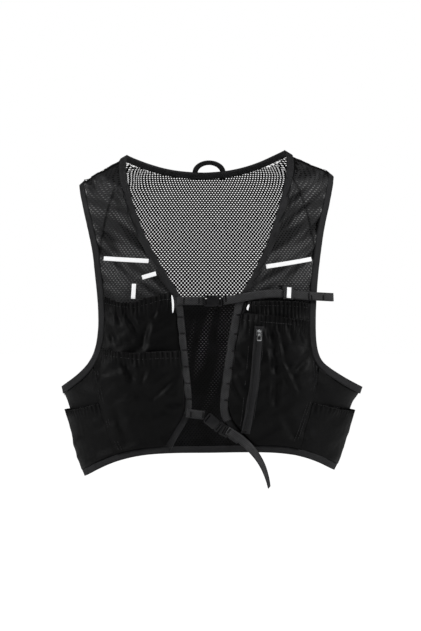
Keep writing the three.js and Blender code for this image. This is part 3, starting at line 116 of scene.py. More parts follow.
def glow_behind(tree, strength, seen=1.0, cast=0.03):
    """White where the eye meets it, and a much weaker light on the vest."""
    path = tree.nodes.new("ShaderNodeLightPath")
    split = tree.nodes.new("ShaderNodeMath")
    split.operation = "MULTIPLY_ADD"
    split.inputs[1].default_value = seen - cast
    split.inputs[2].default_value = cast
    tree.links.new(path.outputs["Is Camera Ray"], split.inputs[0])
    tree.links.new(split.outputs["Value"], strength)


glow_behind(world.node_tree, world.node_tree.nodes["Background"].inputs["Strength"])
glow_behind(pale.node_tree, floor_shader.inputs["Emission Strength"])


def soft_lamp(name, place, size, power):
    """A square soft lamp that faces the vest."""
    data = bpy.data.lights.new(name, "AREA")
    data.size = size
    data.energy = power
    lamp = add_object(name, data)
    lamp.location = place
    lamp.rotation_euler = (AIM - Vector(place)).to_track_quat("-Z", "Y").to_euler()


soft_lamp("lamp_left", (-2.7, -1.0, 0.9), 1.0, 29)
soft_lamp("lamp_right", (2.6, -1.2, 1.1), 0.9, 34)
soft_lamp("lamp_above", (0.1, -0.9, 2.3), 1.0, 12)

# %% [markdown]
# Black cloth is never one flat black. Each finish starts from a Principled shader whose plain
# values sit on its own sockets. A slow noise varies the colour, as dye and wear do, and a fine
# pattern on Object coordinates gives the threads through a Bump node. Object coordinates hold
# still in every view and keep the pattern at its real size.

# %% Finish helpers
SHEEN_ROUGHNESS = 0.4
DARK_BELOW, LIGHT_ABOVE = 0.35, 0.68  # the noise is all dark below and all light above
RIDGE_GAIN, RIDGE_SHIFT = 0.6, -0.08  # bring the sum of noise and ridges to between 0 and 1
WAVE_UNIT = 0.314  # the Wave Texture's scale for ridges one metre apart


def shader_of(material):
    """The material's Principled shader."""
    return material.node_tree.nodes["Principled BSDF"]


def finish(name, color, roughness, metallic=0.0, sheen=0.0, shine=0.5):
    """A plain material. shine is 0.5 on plain plastic, and less on matt cloth."""
    material = bpy.data.materials.new(name)
    material.use_nodes = True
    shader = shader_of(material)
    shader.inputs["Base Color"].default_value = (*color, 1)
    shader.inputs["Roughness"].default_value = roughness
    shader.inputs["Metallic"].default_value = metallic
    shader.inputs["Specular IOR Level"].default_value = shine
    if sheen:
        shader.inputs["Sheen Weight"].default_value = sheen
        shader.inputs["Sheen Roughness"].default_value = SHEEN_ROUGHNESS
    return material


def add_node(material, kind, **values):
    """A node with the given input values or properties."""
    node = material.node_tree.nodes.new(kind)
    for key, value in values.items():
        if key in node.inputs:
            node.inputs[key].default_value = value
        else:
            setattr(node, key, value)
    return node


def join(source, target):
    """Leads one node's output into another's input."""
    source.id_data.links.new(source, target)


def object_place(material, scale=(1, 1, 1), turn=(0, 0, 0)):
    """Object coordinates through a Mapping node."""
    place = add_node(material, "ShaderNodeTexCoord")
    mapping = add_node(material, "ShaderNodeMapping")
    mapping.inputs["Scale"].default_value = scale
    mapping.inputs["Rotation"].default_value = turn
    join(place.outputs["Object"], mapping.inputs["Vector"])
    return mapping.outputs["Vector"]


def vary_color(material, dark, light, size, pattern=None):
    """Slow patches between two colours, size metres broad. A pattern's ridges are mixed in."""
    share = grain(material, "ShaderNodeTexNoise", Scale=1 / size, Detail=4.0)
    ramp = add_node(material, "ShaderNodeValToRGB")
    ramp.color_ramp.elements[0].position = DARK_BELOW
    ramp.color_ramp.elements[1].position = LIGHT_ABOVE
    ramp.color_ramp.elements[0].color = (*dark, 1)
    ramp.color_ramp.elements[1].color = (*light, 1)
    if pattern is not None:
        mixed = add_node(material, "ShaderNodeMath", operation="MULTIPLY_ADD")
        join(combine(material, share, pattern, "ADD"), mixed.inputs[0])
        mixed.inputs[1].default_value = RIDGE_GAIN
        mixed.inputs[2].default_value = RIDGE_SHIFT
        share = mixed.outputs["Value"]
    join(share, ramp.inputs["Fac"])
    join(ramp.outputs["Color"], shader_of(material).inputs["Base Color"])


def color_by(material, attribute, low, high):
    """Colours a piece by a value stored on its points, from low at 0 to high at 1."""
    value = add_node(material, "ShaderNodeAttribute", attribute_name=attribute)
    dye = add_node(material, "ShaderNodeValToRGB")
    dye.color_ramp.elements[0].color = (*low, 1)
    dye.color_ramp.elements[1].color = (*high, 1)
    join(value.outputs["Fac"], dye.inputs["Fac"])
    join(dye.outputs["Color"], shader_of(material).inputs["Base Color"])


def wave(material, pitch, direction, turn=(0, 0, 0), wobble=0.0):
    """Even ridges a pitch apart, in metres."""
    ridges = add_node(material, "ShaderNodeTexWave", Scale=WAVE_UNIT / pitch, Distortion=wobble)
    ridges.bands_direction = direction
    join(object_place(material, turn=turn), ridges.inputs["Vector"])
    return ridges.outputs["Fac"]


def combine(material, a, b, how="MULTIPLY"):
    """Two patterns joined by one operation, such as their product."""
    maths = add_node(material, "ShaderNodeMath", operation=how)
    join(a, maths.inputs[0])
    join(b, maths.inputs[1])
    return maths.outputs["Value"]


def emboss(material, pattern, height, strength=0.6):
    """Lets a pattern stand out of the surface by a height in metres."""
    bump = add_node(material, "ShaderNodeBump", Distance=height, Strength=strength)
    join(pattern, bump.inputs["Height"])
    join(bump.outputs["Normal"], shader_of(material).inputs["Normal"])


def grain(material, kind, output="Fac", stretched=(1, 1, 1), **values):
    """A noise or cell texture on Object coordinates."""
    texture = add_node(material, kind, **values)
    place = object_place(material, scale=stretched)
    join(place, texture.inputs["Vector"])
    return texture.outputs[output]


# %% [markdown]
# The pockets and side panels are a tight stretch weave. Two sets of fine ridges cross each other
# for the threads. The straps' mesh has a paler yarn than the back's: a painted highlight on the
# straps, and painted shade at the back. The bindings are ribbed elastic, and the webbing is a
# coarser weave whose diagonal ridges meet in a herringbone. Three finishes take their colour from
# a value on the points: the straps' yarn is painted darker in the wrinkles' valleys, as painted
# shade, and paler in lit patches and on the rises, as painted light, and the lining and the back
# pocket are painted paler where light reaches them between the layers.

# %% Cloth finishes
woven = finish("woven_cloth", (0.006, 0.006, 0.006), 0.45, sheen=0.008, shine=0.18)
threads = combine(woven, wave(woven, 0.7 * MM, "X"), wave(woven, 0.7 * MM, "Z"))
vary_color(woven, (0.001, 0.001, 0.001), (0.009, 0.009, 0.010), 0.03, threads)
emboss(woven, threads, 0.12 * MM)

yarn = finish("mesh_yarn", (0.020, 0.020, 0.022), 0.6, sheen=0.03, shine=0.4)
# Painted shade and painted light: the yarn is darker in the wrinkles' valleys and paler in the lit
# patches and on the rises.
color_by(yarn, "valley", (0.045, 0.045, 0.047), (0.012, 0.012, 0.013))
emboss(yarn, wave(yarn, 0.5 * MM, "DIAGONAL", wobble=2.0), 0.15 * MM)

# Painted shade: the back mesh's yarn is darker than the straps' yarn, because the back lies in
# shadow.
shade_yarn = finish("back_mesh_yarn", (0.010, 0.010, 0.011), 0.6, sheen=0.005, shine=0.12)
vary_color(shade_yarn, (0.004, 0.004, 0.004), (0.009, 0.009, 0.010), 0.02)
emboss(shade_yarn, wave(shade_yarn, 0.5 * MM, "DIAGONAL", wobble=2.0), 0.15 * MM)

lining = finish("strap_lining", (0.005, 0.005, 0.005), 0.85, sheen=0.01, shine=0.15)
color_by(lining, "light", (0.004, 0.004, 0.004), (0.42, 0.42, 0.42))
emboss(lining, wave(lining, 0.6 * MM, "Z", wobble=1.0), 0.1 * MM)

binding = finish("ribbed_binding", (0.022, 0.022, 0.024), 0.7, sheen=0.03, shine=0.3)
ribs = combine(binding, wave(binding, 1.3 * MM, "Z"), wave(binding, 0.9 * MM, "X"))
vary_color(binding, (0.016, 0.016, 0.017), (0.060, 0.060, 0.064), 0.02, ribs)
emboss(binding, ribs, 0.25 * MM)

webbing = finish("herringbone_webbing", (0.030, 0.030, 0.033), 0.65, sheen=0.03, shine=0.35)
rising = wave(webbing, 1.5 * MM, "X", turn=(0, math.radians(40), 0))
falling = wave(webbing, 1.5 * MM, "X", turn=(0, math.radians(-40), 0))
herringbone = combine(webbing, rising, falling)
vary_color(webbing, (0.024, 0.024, 0.025), (0.130, 0.130, 0.135), 0.012, herringbone)
emboss(webbing, herringbone, 0.3 * MM)

sewing = finish("sewing_thread", (0.034, 0.034, 0.037), 0.55)
vary_color(sewing, (0.035, 0.035, 0.037), (0.070, 0.070, 0.074), 0.004)
emboss(sewing, wave(sewing, 0.25 * MM, "DIAGONAL"), 0.08 * MM)

# The bar tacks' thread is darker than the sewing thread: black thread, with painted shade for the
# dark line that each tack makes.
tack_thread = finish("tack_thread", (0.008, 0.008, 0.009), 0.6, shine=0.3)
vary_color(tack_thread, (0.005, 0.005, 0.005), (0.012, 0.012, 0.013), 0.004)
emboss(tack_thread, wave(tack_thread, 0.25 * MM, "DIAGONAL"), 0.08 * MM)

inner = finish("back_pocket_cloth", (0.006, 0.006, 0.006), 0.5, sheen=0.005, shine=0.1)
color_by(inner, "light", (0.002, 0.002, 0.002), (0.55, 0.55, 0.55))
threads = combine(inner, wave(inner, 0.7 * MM, "X"), wave(inner, 0.7 * MM, "Z"))
emboss(inner, threads, 0.12 * MM)
CLOTHS = (woven, yarn, shade_yarn, lining, binding, webbing, sewing, tack_thread, inner)
print("cloth finishes:", [material.name for material in CLOTHS])

# %% [markdown]
# The buckles are moulded acetal with a fine spark grain. The strips are a film of glass beads: in
# soft light they read as plain pale silver with a faint honeycomb, and a weak glow, painted light,
# keeps them near white. The zip's slider and pull are bright plated metal that is brushed a
# little.

# %% Hard finishes
plastic = finish("moulded_plastic", (0.012, 0.012, 0.013), 0.38)
vary_color(plastic, (0.010, 0.010, 0.011), (0.016, 0.016, 0.017), 0.006)
sparks = grain(plastic, "ShaderNodeTexNoise", Scale=2500.0, Detail=2.0)
emboss(plastic, sparks, 0.05 * MM, strength=0.4)

film = finish("reflective_film", (0.82, 0.83, 0.84), 0.35)
# A weak emission: painted light that makes the strips glow near white.
shader_of(film).inputs["Emission Color"].default_value = (1, 1, 1, 1)
shader_of(film).inputs["Emission Strength"].default_value = 0.55
vary_color(film, (0.74, 0.75, 0.77), (0.88, 0.89, 0.90), 0.008)
beads = grain(film, "ShaderNodeTexVoronoi", output="Distance", Scale=900.0)
emboss(film, beads, 0.06 * MM, strength=0.4)

plated = finish("plated_metal", (0.72, 0.73, 0.74), 0.26, metallic=1.0)
vary_color(plated, (0.62, 0.63, 0.64), (0.80, 0.81, 0.82), 0.004)
brushed = grain(plated, "ShaderNodeTexNoise", stretched=(1, 1, 0.1), Scale=1200.0, Detail=3.0)
emboss(plated, brushed, 0.03 * MM, strength=0.4)

# %% [markdown]
# A soft piece starts as a copy of its solid, because the solid already holds the place, the
# outline and the gape. The copy's loose triangles are merged and turned back into quads. The cut
# edges are creased, so that Subdivision Surface rounds the cloth and leaves its outline where it
# was.

# %% Copies of solids
WELD = 0.002 * MM  # points nearer than this are merged
SHARP = math.radians(48)  # an edge that turns more is a cut edge
SMOOTH = math.radians(50)
CLOTH_LEVELS, TAPE_LEVELS = 3, 2
HALF_WIDTH, HALF_DEPTH = 181, 96  # of the body's level section, in millimetres
FACING = 0.3  # a face counts as outer above this cosine, and as inner below its negative


def tidy_copy(node, name, grow=0.0):
    """A merged copy of a solid, as quads, selected and active. grow swells it by millimetres."""
    bpy.ops.object.select_all(action="DESELECT")
    piece = nodes[node].copy()
    piece.data = nodes[node].data.copy()
    piece.parent = None
    for key in list(piece.keys()):
        del piece[key]
    piece.name = name
    scene.collection.objects.link(piece)
    piece.hide_viewport = piece.hide_render = False
    piece.hide_set(False)
    piece.select_set(True)
    bpy.context.view_layer.objects.active = piece
    bpy.ops.object.mode_set(mode="EDIT")
    bpy.ops.mesh.select_all(action="SELECT")
    bpy.ops.mesh.remove_doubles(threshold=WELD)
    bpy.ops.mesh.tris_convert_to_quads(face_threshold=0.9, shape_threshold=1.2)
    if grow:
        bpy.ops.transform.shrink_fatten(value=grow * MM, use_even_offset=True)
    bpy.ops.object.mode_set(mode="OBJECT")
    return piece


def apply_subdivision(piece, levels):
    """Subdivides a piece and keeps its creased edges in place."""
    bpy.ops.object.mode_set(mode="EDIT")
    bpy.ops.mesh.select_mode(type="EDGE")
    bpy.ops.mesh.select_all(action="DESELECT")
    bpy.ops.mesh.edges_select_sharp(sharpness=SHARP)
    bpy.ops.transform.edge_crease(value=1)
    bpy.ops.object.mode_set(mode="OBJECT")
    smooth = piece.modifiers.new("smooth", "SUBSURF")
    smooth.levels = smooth.render_levels = levels
    bpy.ops.object.modifier_apply(modifier="smooth")
    bpy.ops.object.shade_smooth_by_angle(angle=SMOOTH)


def soft_copy(node, name, levels, grow=0.0):
    """A rounded copy of a solid, and its points in millimetres."""
    piece = tidy_copy(node, name, grow)
    apply_subdivision(piece, levels)
    return piece, points_of(piece)


def dress(piece, material, slot, *replaced, body="vest"):
    """Gives a piece its finish and the body that it rides on. The slot is not used."""
    piece.data.materials.clear()
    piece.data.materials.append(material)
    if replaced:
        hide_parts(*replaced)
    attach(piece, body)


def rows_of(mesh, kind):
    """A mesh's points or normals, one row each."""
    values = np.empty(len(mesh.vertices) * 3)
    mesh.vertices.foreach_get(kind, values)
    return values.reshape(-1, 3)


def points_of(piece):
    """The piece's points, in millimetres."""
    return rows_of(piece.data, "co") / MM


def set_points(piece, points):
    """Writes the points back."""
    piece.data.vertices.foreach_set("co", (points * MM).ravel())
    piece.data.update()


def store(piece, name, values):
    """Keeps a value from 0 to 1 on each point, for a finish to read."""
    layer = piece.data.attributes.new(name, "FLOAT", "POINT")
    layer.data.foreach_set("value", values)


def way_out(points):
    """The level direction away from the wearer at each point."""
    flat = [points[:, 0] / HALF_WIDTH**2, points[:, 1] / HALF_DEPTH**2, 0 * points[:, 0]]
    away = np.stack(flat, 1)
    return away / np.linalg.norm(away, axis=1, keepdims=True)


def facing_out(piece, points):
    """1 where the piece faces away from the wearer and -1 where it faces the wearer."""
    return np.einsum("ij,ij->i", way_out(points), rows_of(piece.data, "normal"))


# %% [markdown]
# The folds come from the picture. Each row gives a fold's two ends in pixels, how deep it is and
# how broad, in millimetres. A fold is a soft valley with a low ridge on each side, as cloth
# bunches up beside a crease, and a depth below zero makes a ridge. Between the folds a slow noise
# keeps the cloth from lying dead flat.

# %% Folds
FOLD_GAIN = 1.7  # the folds are made this much deeper than the table says
RIDGE_HEIGHT = 0.45  # of the ridges beside a fold, as a share of its depth
RIDGE_AWAY = 2.1  # how far they lie from its line, in breadths
FOLDS = [  # ends (x, y, x, y), depth, breadth
    (115, 307, 121, 326, 1.1, 3.0), (123.5, 309.5, 141, 338, 1.5, 3.5),
    (147.6, 318.7, 140.7, 351, 2.0, 4.0), (156.8, 309.5, 151, 318, 1.0, 3.0),
    (106, 324, 115, 347, 1.2, 3.5), (123.5, 359, 135, 383, 1.4, 4.0),
    (145.3, 368, 140.7, 384, 1.1, 3.5), (178, 374, 149, 400, 1.8, 4.0),
    (164, 402, 185, 404, 1.2, 3.5), (127, 300, 124, 314, 0.9, 2.5),
    (97, 372, 84, 404, 1.5, 4.0), (74, 384, 84, 404, 1.3, 4.0),
    (112, 400, 128, 448, 1.0, 5.0), (268.6, 325.6, 272.7, 345, 1.8, 3.5),
    (272.7, 345, 276, 376, 2.0, 3.5), (276, 376, 275, 408, 1.6, 3.5),
    (277, 333.6, 281, 360, -1.2, 2.5), (281, 360, 298, 397, -1.2, 2.5),
    (310.5, 354, 293, 376, 1.3, 3.5), (233.6, 357.7, 244, 365, 1.2, 3.0),
    (231, 375, 242.8, 402, 1.4, 3.0), (288, 322, 292, 342, 1.0, 3.0),
    (300, 324, 306, 345, 1.0, 3.0), (283, 410, 296, 442, 1.0, 5.0),
    (330, 384, 340, 400, 1.4, 3.5), (350, 390, 340, 400, 1.2, 3.5),
    (340, 400, 326, 412, 1.2, 3.5), (340, 400, 346, 420, 1.0, 3.5),
]


def fold_offsets(points):
    """How far each front point moves out, in millimetres."""
    moved = np.zeros(len(points))
    for x0, y0, x1, y1, depth, breadth in FOLDS:
        a = np.array(on_front(x0, y0)) / MM
        b = np.array(on_front(x1, y1)) / MM
        along = b - a
        flat = points[:, [0, 2]] - a
        t = np.clip(flat @ along / (along @ along), 0, 1)
        miss = np.linalg.norm(flat - t[:, None] * along, axis=1)
        fade = np.clip(1 - np.abs(t - 0.5) * 2, 0, 1) ** 0.6
        valley = np.exp(-((miss / breadth) ** 2))
        ridge = np.exp(-(((miss - RIDGE_AWAY * breadth) / breadth) ** 2))
        moved += FOLD_GAIN * depth * fade * (RIDGE_HEIGHT * ridge - valley)
    return moved


def slow_noise(points, size, height, seed=0.0):
    """A smooth noise over the points. Its breadth and height are in millimetres."""
    return np.array([
        height * noise.noise(Vector((x / size + seed, y / size, z / size))) for x, y, z in points
    ])


def slanted_noise(points, length, breadth, slope, height, seed):
    """Long wrinkles that slope across the cloth, by an angle in radians."""
    c, s = np.cos(slope), np.sin(slope)
    u = (points[:, 0] * c + points[:, 2] * s) / length
    v = (points[:, 2] * c - points[:, 0] * s) / breadth
    return np.array([height * noise.noise(Vector((a, b, seed))) for a, b in zip(u, v)])


# %% [markdown]
# A pocket's mouth is drawn in by elastic, so the cloth below it stands in small upright gathers
# that die out over about two centimetres. Each mouth is a short list of places in the picture,
# and the gathers follow the distance below it.

# %% Gathers
FRONT_GATHERS = {"pitch": 4.2, "height": 1.2}  # in millimetres
SIDE_GATHERS = {"pitch": 6.5, "height": 1.6}
GATHER_REACH = 22  # how far below the mouth they die out
GATHER_RISE = 4  # and how far above it they begin
MEAN_RADIUS = 150  # turns an angle round the body into a length
FOOT_HELD, FOOT_FADE, SIDE_FADE = 2, 14, 8  # the sewn edges hold the cloth over these lengths
MOUTHS = {
    "flask_pocket_right": [
        (100, 297), (119, 301.5), (134, 303), (148, 299), (160, 295), (176, 293),
    ],
    "stow_pocket_right": [(98, 348), (119, 350.8), (139.5, 353), (165, 351.4), (186, 351)],
    "flask_pocket_left": [(236, 303), (270, 302), (320, 304)],
    "zip_pocket_left": [(234, 313), (270.4, 316), (300, 319), (322, 321)],
    "side_pocket_right": [(60, 404), (104, 399)],
    "side_pocket_left": [(312, 399), (360, 404)],
}


def gather_offsets(points, name, pitch, height):
    """Ripples along a mouth, in millimetres."""
    mouth = np.array([on_front(*p) for p in MOUTHS[name]]) / MM
    order = np.argsort(mouth[:, 0])
    top = np.interp(points[:, 0], mouth[order, 0], mouth[order, 1])
    below = top - points[:, 2]
    fade = np.clip(1 - below / GATHER_REACH, 0, 1)
    fade *= np.clip((below + GATHER_RISE) / GATHER_RISE, 0, 1)
    uneven = slow_noise(points * [1, 1, 0.2], size=9, height=1.6, seed=3.1)
    turn = np.arctan2(points[:, 0] / HALF_WIDTH, -points[:, 1] / HALF_DEPTH)
    round_body = turn * MEAN_RADIUS
    return height * fade * np.sin(2 * math.pi * (round_body + uneven) / pitch)


def hold_edges(points):
    """1 inside the cloth, and 0 at its sewn sides and foot."""
    low, high = points.min(0), points.max(0)
    foot = np.clip((points[:, 2] - low[2] - FOOT_HELD) / FOOT_FADE, 0, 1)
    right = np.clip((points[:, 0] - low[0]) / SIDE_FADE, 0, 1)
    left = np.clip((high[0] - points[:, 0]) / SIDE_FADE, 0, 1)
    return foot * (right * left)


# %% [markdown]
# The side panels and the back pocket have no mouth in the picture. They get slow wrinkles only,
# and are swollen a little, so that no light slits open beside their seams. The back pocket is
# seen through the mesh: streaks of light lie on its inner side, behind the front opening.

# %% Pockets and side panels
SEAM_GROW = 0.7
STREAK_TOP, STREAK_TOP_FADE = -172, 10  # the streaks fade in below this height
STREAK_FOOT, STREAK_FOOT_FADE = -330, 90  # and out above this one


def soften(piece, points, offsets):
    """Moves a cloth's points outwards, or inwards below zero."""
    set_points(piece, points + way_out(points) * offsets[:, None])


for name in MOUTHS:
    piece, points = soft_copy(name, name + "_cloth", CLOTH_LEVELS)
    rest = slanted_noise(points, length=40, breadth=13, slope=0.5, height=2.0, seed=4.2)
    rest += slow_noise(points, size=7, height=0.4)
    move = (fold_offsets(points) + rest) * hold_edges(points)
    gathers = SIDE_GATHERS if "side" in name else FRONT_GATHERS
    soften(piece, points, move + gather_offsets(points, name, **gathers))
    dress(piece, woven, "woven_cloth", name)
    print(name, len(piece.data.polygons), "faces")

for name in ("side_panel_right", "side_panel_left", "back_pocket"):
    piece, points = soft_copy(name, name + "_cloth", CLOTH_LEVELS, grow=SEAM_GROW)
    rest = slanted_noise(points, length=50, breadth=15, slope=-0.4, height=2.0, seed=8.8)
    rest += slow_noise(points, size=8, height=0.25)
    if name == "back_pocket":
        streaks = slanted_noise(points, length=70, breadth=12, slope=1.35, height=1.8, seed=3.3)
        lit = np.clip((STREAK_TOP - points[:, 2]) / STREAK_TOP_FADE, 0, 1)
        lit *= np.clip((points[:, 2] - STREAK_FOOT) / STREAK_FOOT_FADE, 0, 1)
        inside = facing_out(piece, points) < -FACING
        store(piece, "light", np.clip(streaks - 0.1, 0, 1) * lit * inside)
    soften(piece, points, rest * hold_edges(points))
    dress(piece, inner if name == "back_pocket" else woven, "woven_cloth", name)

# %% [markdown]
# The shoulder straps are two layers: a dark lining and the open mesh over it. They crease in long
# slanting wrinkles, because the arms pull them sideways. The mesh has to follow the same
# wrinkles, so they are worked out once, as a function of the place.

# %% Strap wrinkles and lining
STRAP_SLOPE = 0.75  # of the wrinkles, in radians, mirrored on the right
STRAP_FOOT, STRAP_FADE = -175, 30  # the wrinkles fade in above the straps' foot
LIGHT_FOOT, LIGHT_TOP, LIGHT_FADE = -172, -8, 12  # the light lies between and fades towards them
LINING_GROW = 0.5
LINING_SUNK = 0.3  # the lining lies this far under the wrinkles
CREASE_DEPTH, CREASE_LIMIT = 7, 0.45  # a wrinkle's depth by its noise, and where the noise is cut
LIGHT_ON_RISE = 0.3  # where the cloth stands out, more light gets in


def strap_wrinkles(points):
    """How far the straps' cloth stands out, in millimetres. Most of a wrinkle is a valley."""
    slope = np.where(points[:, 0] < 0, -STRAP_SLOPE, STRAP_SLOPE)
    high = np.clip((points[:, 2] - STRAP_FOOT) / STRAP_FADE, 0, 1)
    wrinkle = slanted_noise(points, length=52, breadth=11, slope=slope, height=1, seed=1.7)
    return (0.4 - CREASE_DEPTH * np.clip(wrinkle + 0.05, 0, CREASE_LIMIT)) * high


def strap_light(points):
    """Where the straps' two layers lie apart and let some light through, from 0 to 1."""
    mirrored = points.copy()
    mirrored[:, 0] = np.abs(points[:, 0])
    patches = slanted_noise(mirrored, length=38, breadth=9, slope=0.6, height=1.7, seed=2.2)
    return np.clip(0.35 + patches, 0, 1)


for name in ("front_panel_right", "front_panel_left"):
    piece, points = soft_copy(name, name + "_lining", CLOTH_LEVELS, grow=LINING_GROW)
    outside = facing_out(piece, points) > FACING
    wrinkles = strap_wrinkles(points)
    points += way_out(points) * (wrinkles - LINING_SUNK)[:, None]
    set_points(piece, points)
    lit = np.clip((points[:, 2] - LIGHT_FOOT) / LIGHT_FADE, 0, 1) * outside
    lit *= np.clip((LIGHT_TOP - points[:, 2]) / LIGHT_FADE, 0, 1)
    store(piece, "light", lit * np.clip(strap_light(points) + LIGHT_ON_RISE * wrinkles, 0, 1))
    dress(piece, lining, "mesh_cloth", name)

# %% [markdown]
# The open mesh is knitted in six-sided cells, 4.7 mm wide, and light comes through the single
# layer at the back. A picture of holes would vanish in a closer view, so every cell is real: a
# ring of six flat threads round a hole. To lay the cells on the body, level rays run out from its
# upright axis to the cloth and its bindings. They give a map of the cloth's distance by angle and
# height. Small gaps between the solids are bridged on the map, so that the mesh runs in under the
# bindings, as it is sewn. A second map of all walls, drawn in at its edges, keeps the cells
# inside the vest's outline.

# %% Map of the cloth
ANGLE_STEP = 0.5  # in degrees
HEIGHT_STEP = 2.0  # in millimetres
ANGLES = np.radians(np.arange(0, 360, ANGLE_STEP))  # 0 in front, half a turn at the back
HEIGHTS = np.arange(-402, 27, HEIGHT_STEP)
CLOSE, DRAW_IN = 2, 4  # steps by which gaps in the walls are closed and their edge is drawn in
REACH_OVER = 4  # steps that a mesh may reach past its own solids
BRIDGE = 8  # steps over which a missing distance is filled in from its neighbours


def tree_of(names):
    """A ray tree over several solids."""
    corners, faces = [], []
    for name in names:
        mesh = nodes[name].data
        start = len(corners)
        corners += [v.co.copy() for v in mesh.vertices]
        faces += [[start + i for i in f.vertices] for f in mesh.polygons]
    return BVHTree.FromPolygons(corners, faces)


def around(angle, distance):
    """The x and y of a place at an angle and a distance from the body's axis."""
    return distance * math.sin(angle), -distance * math.cos(angle)


def distances(names):
    """The distance of some solids from the axis in millimetres, by height and angle."""
    tree = tree_of(names)
    reach = np.full((len(HEIGHTS), len(ANGLES)), np.nan)
    for row, z in enumerate(HEIGHTS):
        for column, angle in enumerate(ANGLES):
            hit = tree.ray_cast(Vector((0, 0, z * MM)), Vector((*around(angle, 1), 0)))
            if hit[0] is not None:
                reach[row, column] = hit[3] / MM
    return reach


def spread(there, steps):
    """Grows an area of the map."""
    for _ in range(steps):
        there = there | np.roll(there, 1, 0) | np.roll(there, -1, 0)
        there = there | np.roll(there, 1, 1) | np.roll(there, -1, 1)
    return there


WALLS = [n for n in nodes if "panel" in n or "binding" in n]
wall_tree = tree_of(WALLS)
closed = spread(~np.isnan(distances(WALLS)), CLOSE)
any_cloth = ~spread(~closed, DRAW_IN)


def cloth_map(names):
    """The cloth's distance from the axis, and where a mesh over it may lie."""
    reach = distances(names)
    near = spread(~np.isnan(reach), REACH_OVER) & any_cloth
    for _ in range(BRIDGE):
        beside = np.stack([np.roll(reach, s, a) for s in (1, -1) for a in (0, 1)])
        known = ~np.isnan(beside)
        mean = np.where(known, beside, 0).sum(0) / np.maximum(known.sum(0), 1)
        reach = np.where(np.isnan(reach) & known.any(0), mean, reach)
    return reach, near


def read_map(grid, z, angle, nearest=False):
    """The map's value between its points, or at the nearest of them."""
    row = np.clip((z - HEIGHTS[0]) / HEIGHT_STEP, 0, len(HEIGHTS) - 1.001)
    column = np.degrees(angle) / ANGLE_STEP % len(ANGLES)
    if nearest:
        return grid[np.rint(row).astype(int), np.rint(column).astype(int) % len(ANGLES)]
    i, j = row.astype(int), column.astype(int)
    u, v = row - i, column - j
    k = (j + 1) % len(ANGLES)
    top = grid[i, j] * (1 - v) + grid[i, k] * v
    return top * (1 - u) + grid[i + 1, j] * u * (1 - v) + grid[i + 1, k] * u * v


# %% [markdown]
# The cells are laid out flat first: rows 2.6 mm apart, every second row shifted by half a cell. A
# flat place becomes an angle by the length of the body's section at chest height, so the cells
# keep their width all round. Rings that would leave the cloth, or that no wall lies close to, are
# left out.

# %% Knitted mesh
CELL = 4.7  # a cell's width, in millimetres
ROW = 2.6  # from one row of cells to the next
OPEN = 0.42  # a hole's breadth as a share of its cell's
CREST = 0.3  # where two cells meet, the thread stands this much higher than at the hole
CHEST = -150  # the height of the section that is rolled out
NEAR_WALL = 1.8 * MM
SAME = 20  # corners in the same twentieth of a millimetre are shared
CORNERS = [(0, -0.667), (0.5, -0.333), (0.5, 0.333), (0, 0.667), (-0.5, 0.333), (-0.5, -0.333)]
SIDES = len(CORNERS)
CELL_HEIGHT = 1.333 * ROW
knitted = {}


def knit(name, names, angle_span, height_span, lift):
    """Lays six-sided rings over the cloth of some solids. Their points are in millimetres."""
    reach, there = cloth_map(names)
    chest = reach[np.abs(HEIGHTS - CHEST).argmin()]
    chest = np.where(np.isnan(chest), np.nanmean(chest), chest)
    steps = np.hypot(chest * math.radians(ANGLE_STEP), np.gradient(chest))
    lengths = np.concatenate([[0], np.cumsum(steps)])[:-1]
    start, end = np.interp(np.array(angle_span), ANGLES, lengths)
    low, high = height_span
    flat = np.array([
        (start + (i + 0.5 * (j % 2)) * CELL, low + j * ROW)
        for j in range(int((high - low) / ROW))
        for i in range(int((end - start) / CELL))
    ])
    rings = []
    for share in (1.0, OPEN):
        for cx, cz in CORNERS:
            x = flat[:, 0] + cx * CELL * share
            z = flat[:, 1] + cz * ROW * share
            angle = np.interp(x, lengths, ANGLES)
            distance = read_map(reach, z, angle)
            ok = read_map(there, z, angle, nearest=True) & ~np.isnan(distance)
            rings.append((x, z, angle, distance, ok))
    keep = np.all([ring[4] for ring in rings], axis=0)
    for _, z, angle, distance, _ in rings[:SIDES]:
        for k in np.flatnonzero(keep):
            spot = Vector((*around(angle[k], distance[k]), z[k])) * MM
            keep[k] = wall_tree.find_nearest(spot, NEAR_WALL)[0] is not None
    bm = bmesh.new()
    made = {}
    for k in np.flatnonzero(keep):
        loop = []
        for x, z, angle, distance, _ in rings:
            key = (round(x[k] * SAME), round(z[k] * SAME))
            if key not in made:
                made[key] = bm.verts.new((*around(angle[k], distance[k]), z[k]))
            loop.append(made[key])
        for a in range(SIDES):
            b = (a + 1) % SIDES
            bm.faces.new((loop[a], loop[b], loop[SIDES + b], loop[SIDES + a]))
    mesh = bpy.data.meshes.new(name)
    bm.to_mesh(mesh)
    bm.free()
    piece = add_object(name, mesh)
    points = rows_of(mesh, "co")
    crest = np.zeros(len(points))
    outer = {i for face in mesh.polygons for i in face.vertices[:2]}
    crest[list(outer)] = CREST
    points += way_out(points) * (lift + crest)[:, None]
    breadth, height = np.ptp(flat[keep], axis=0) + (CELL, CELL_HEIGHT)
    cut = (breadth * MM, height * MM, keep.sum() * CELL * ROW * MM**2)
    knitted[name] = [round(value, 5) for value in cut]
    return piece, points


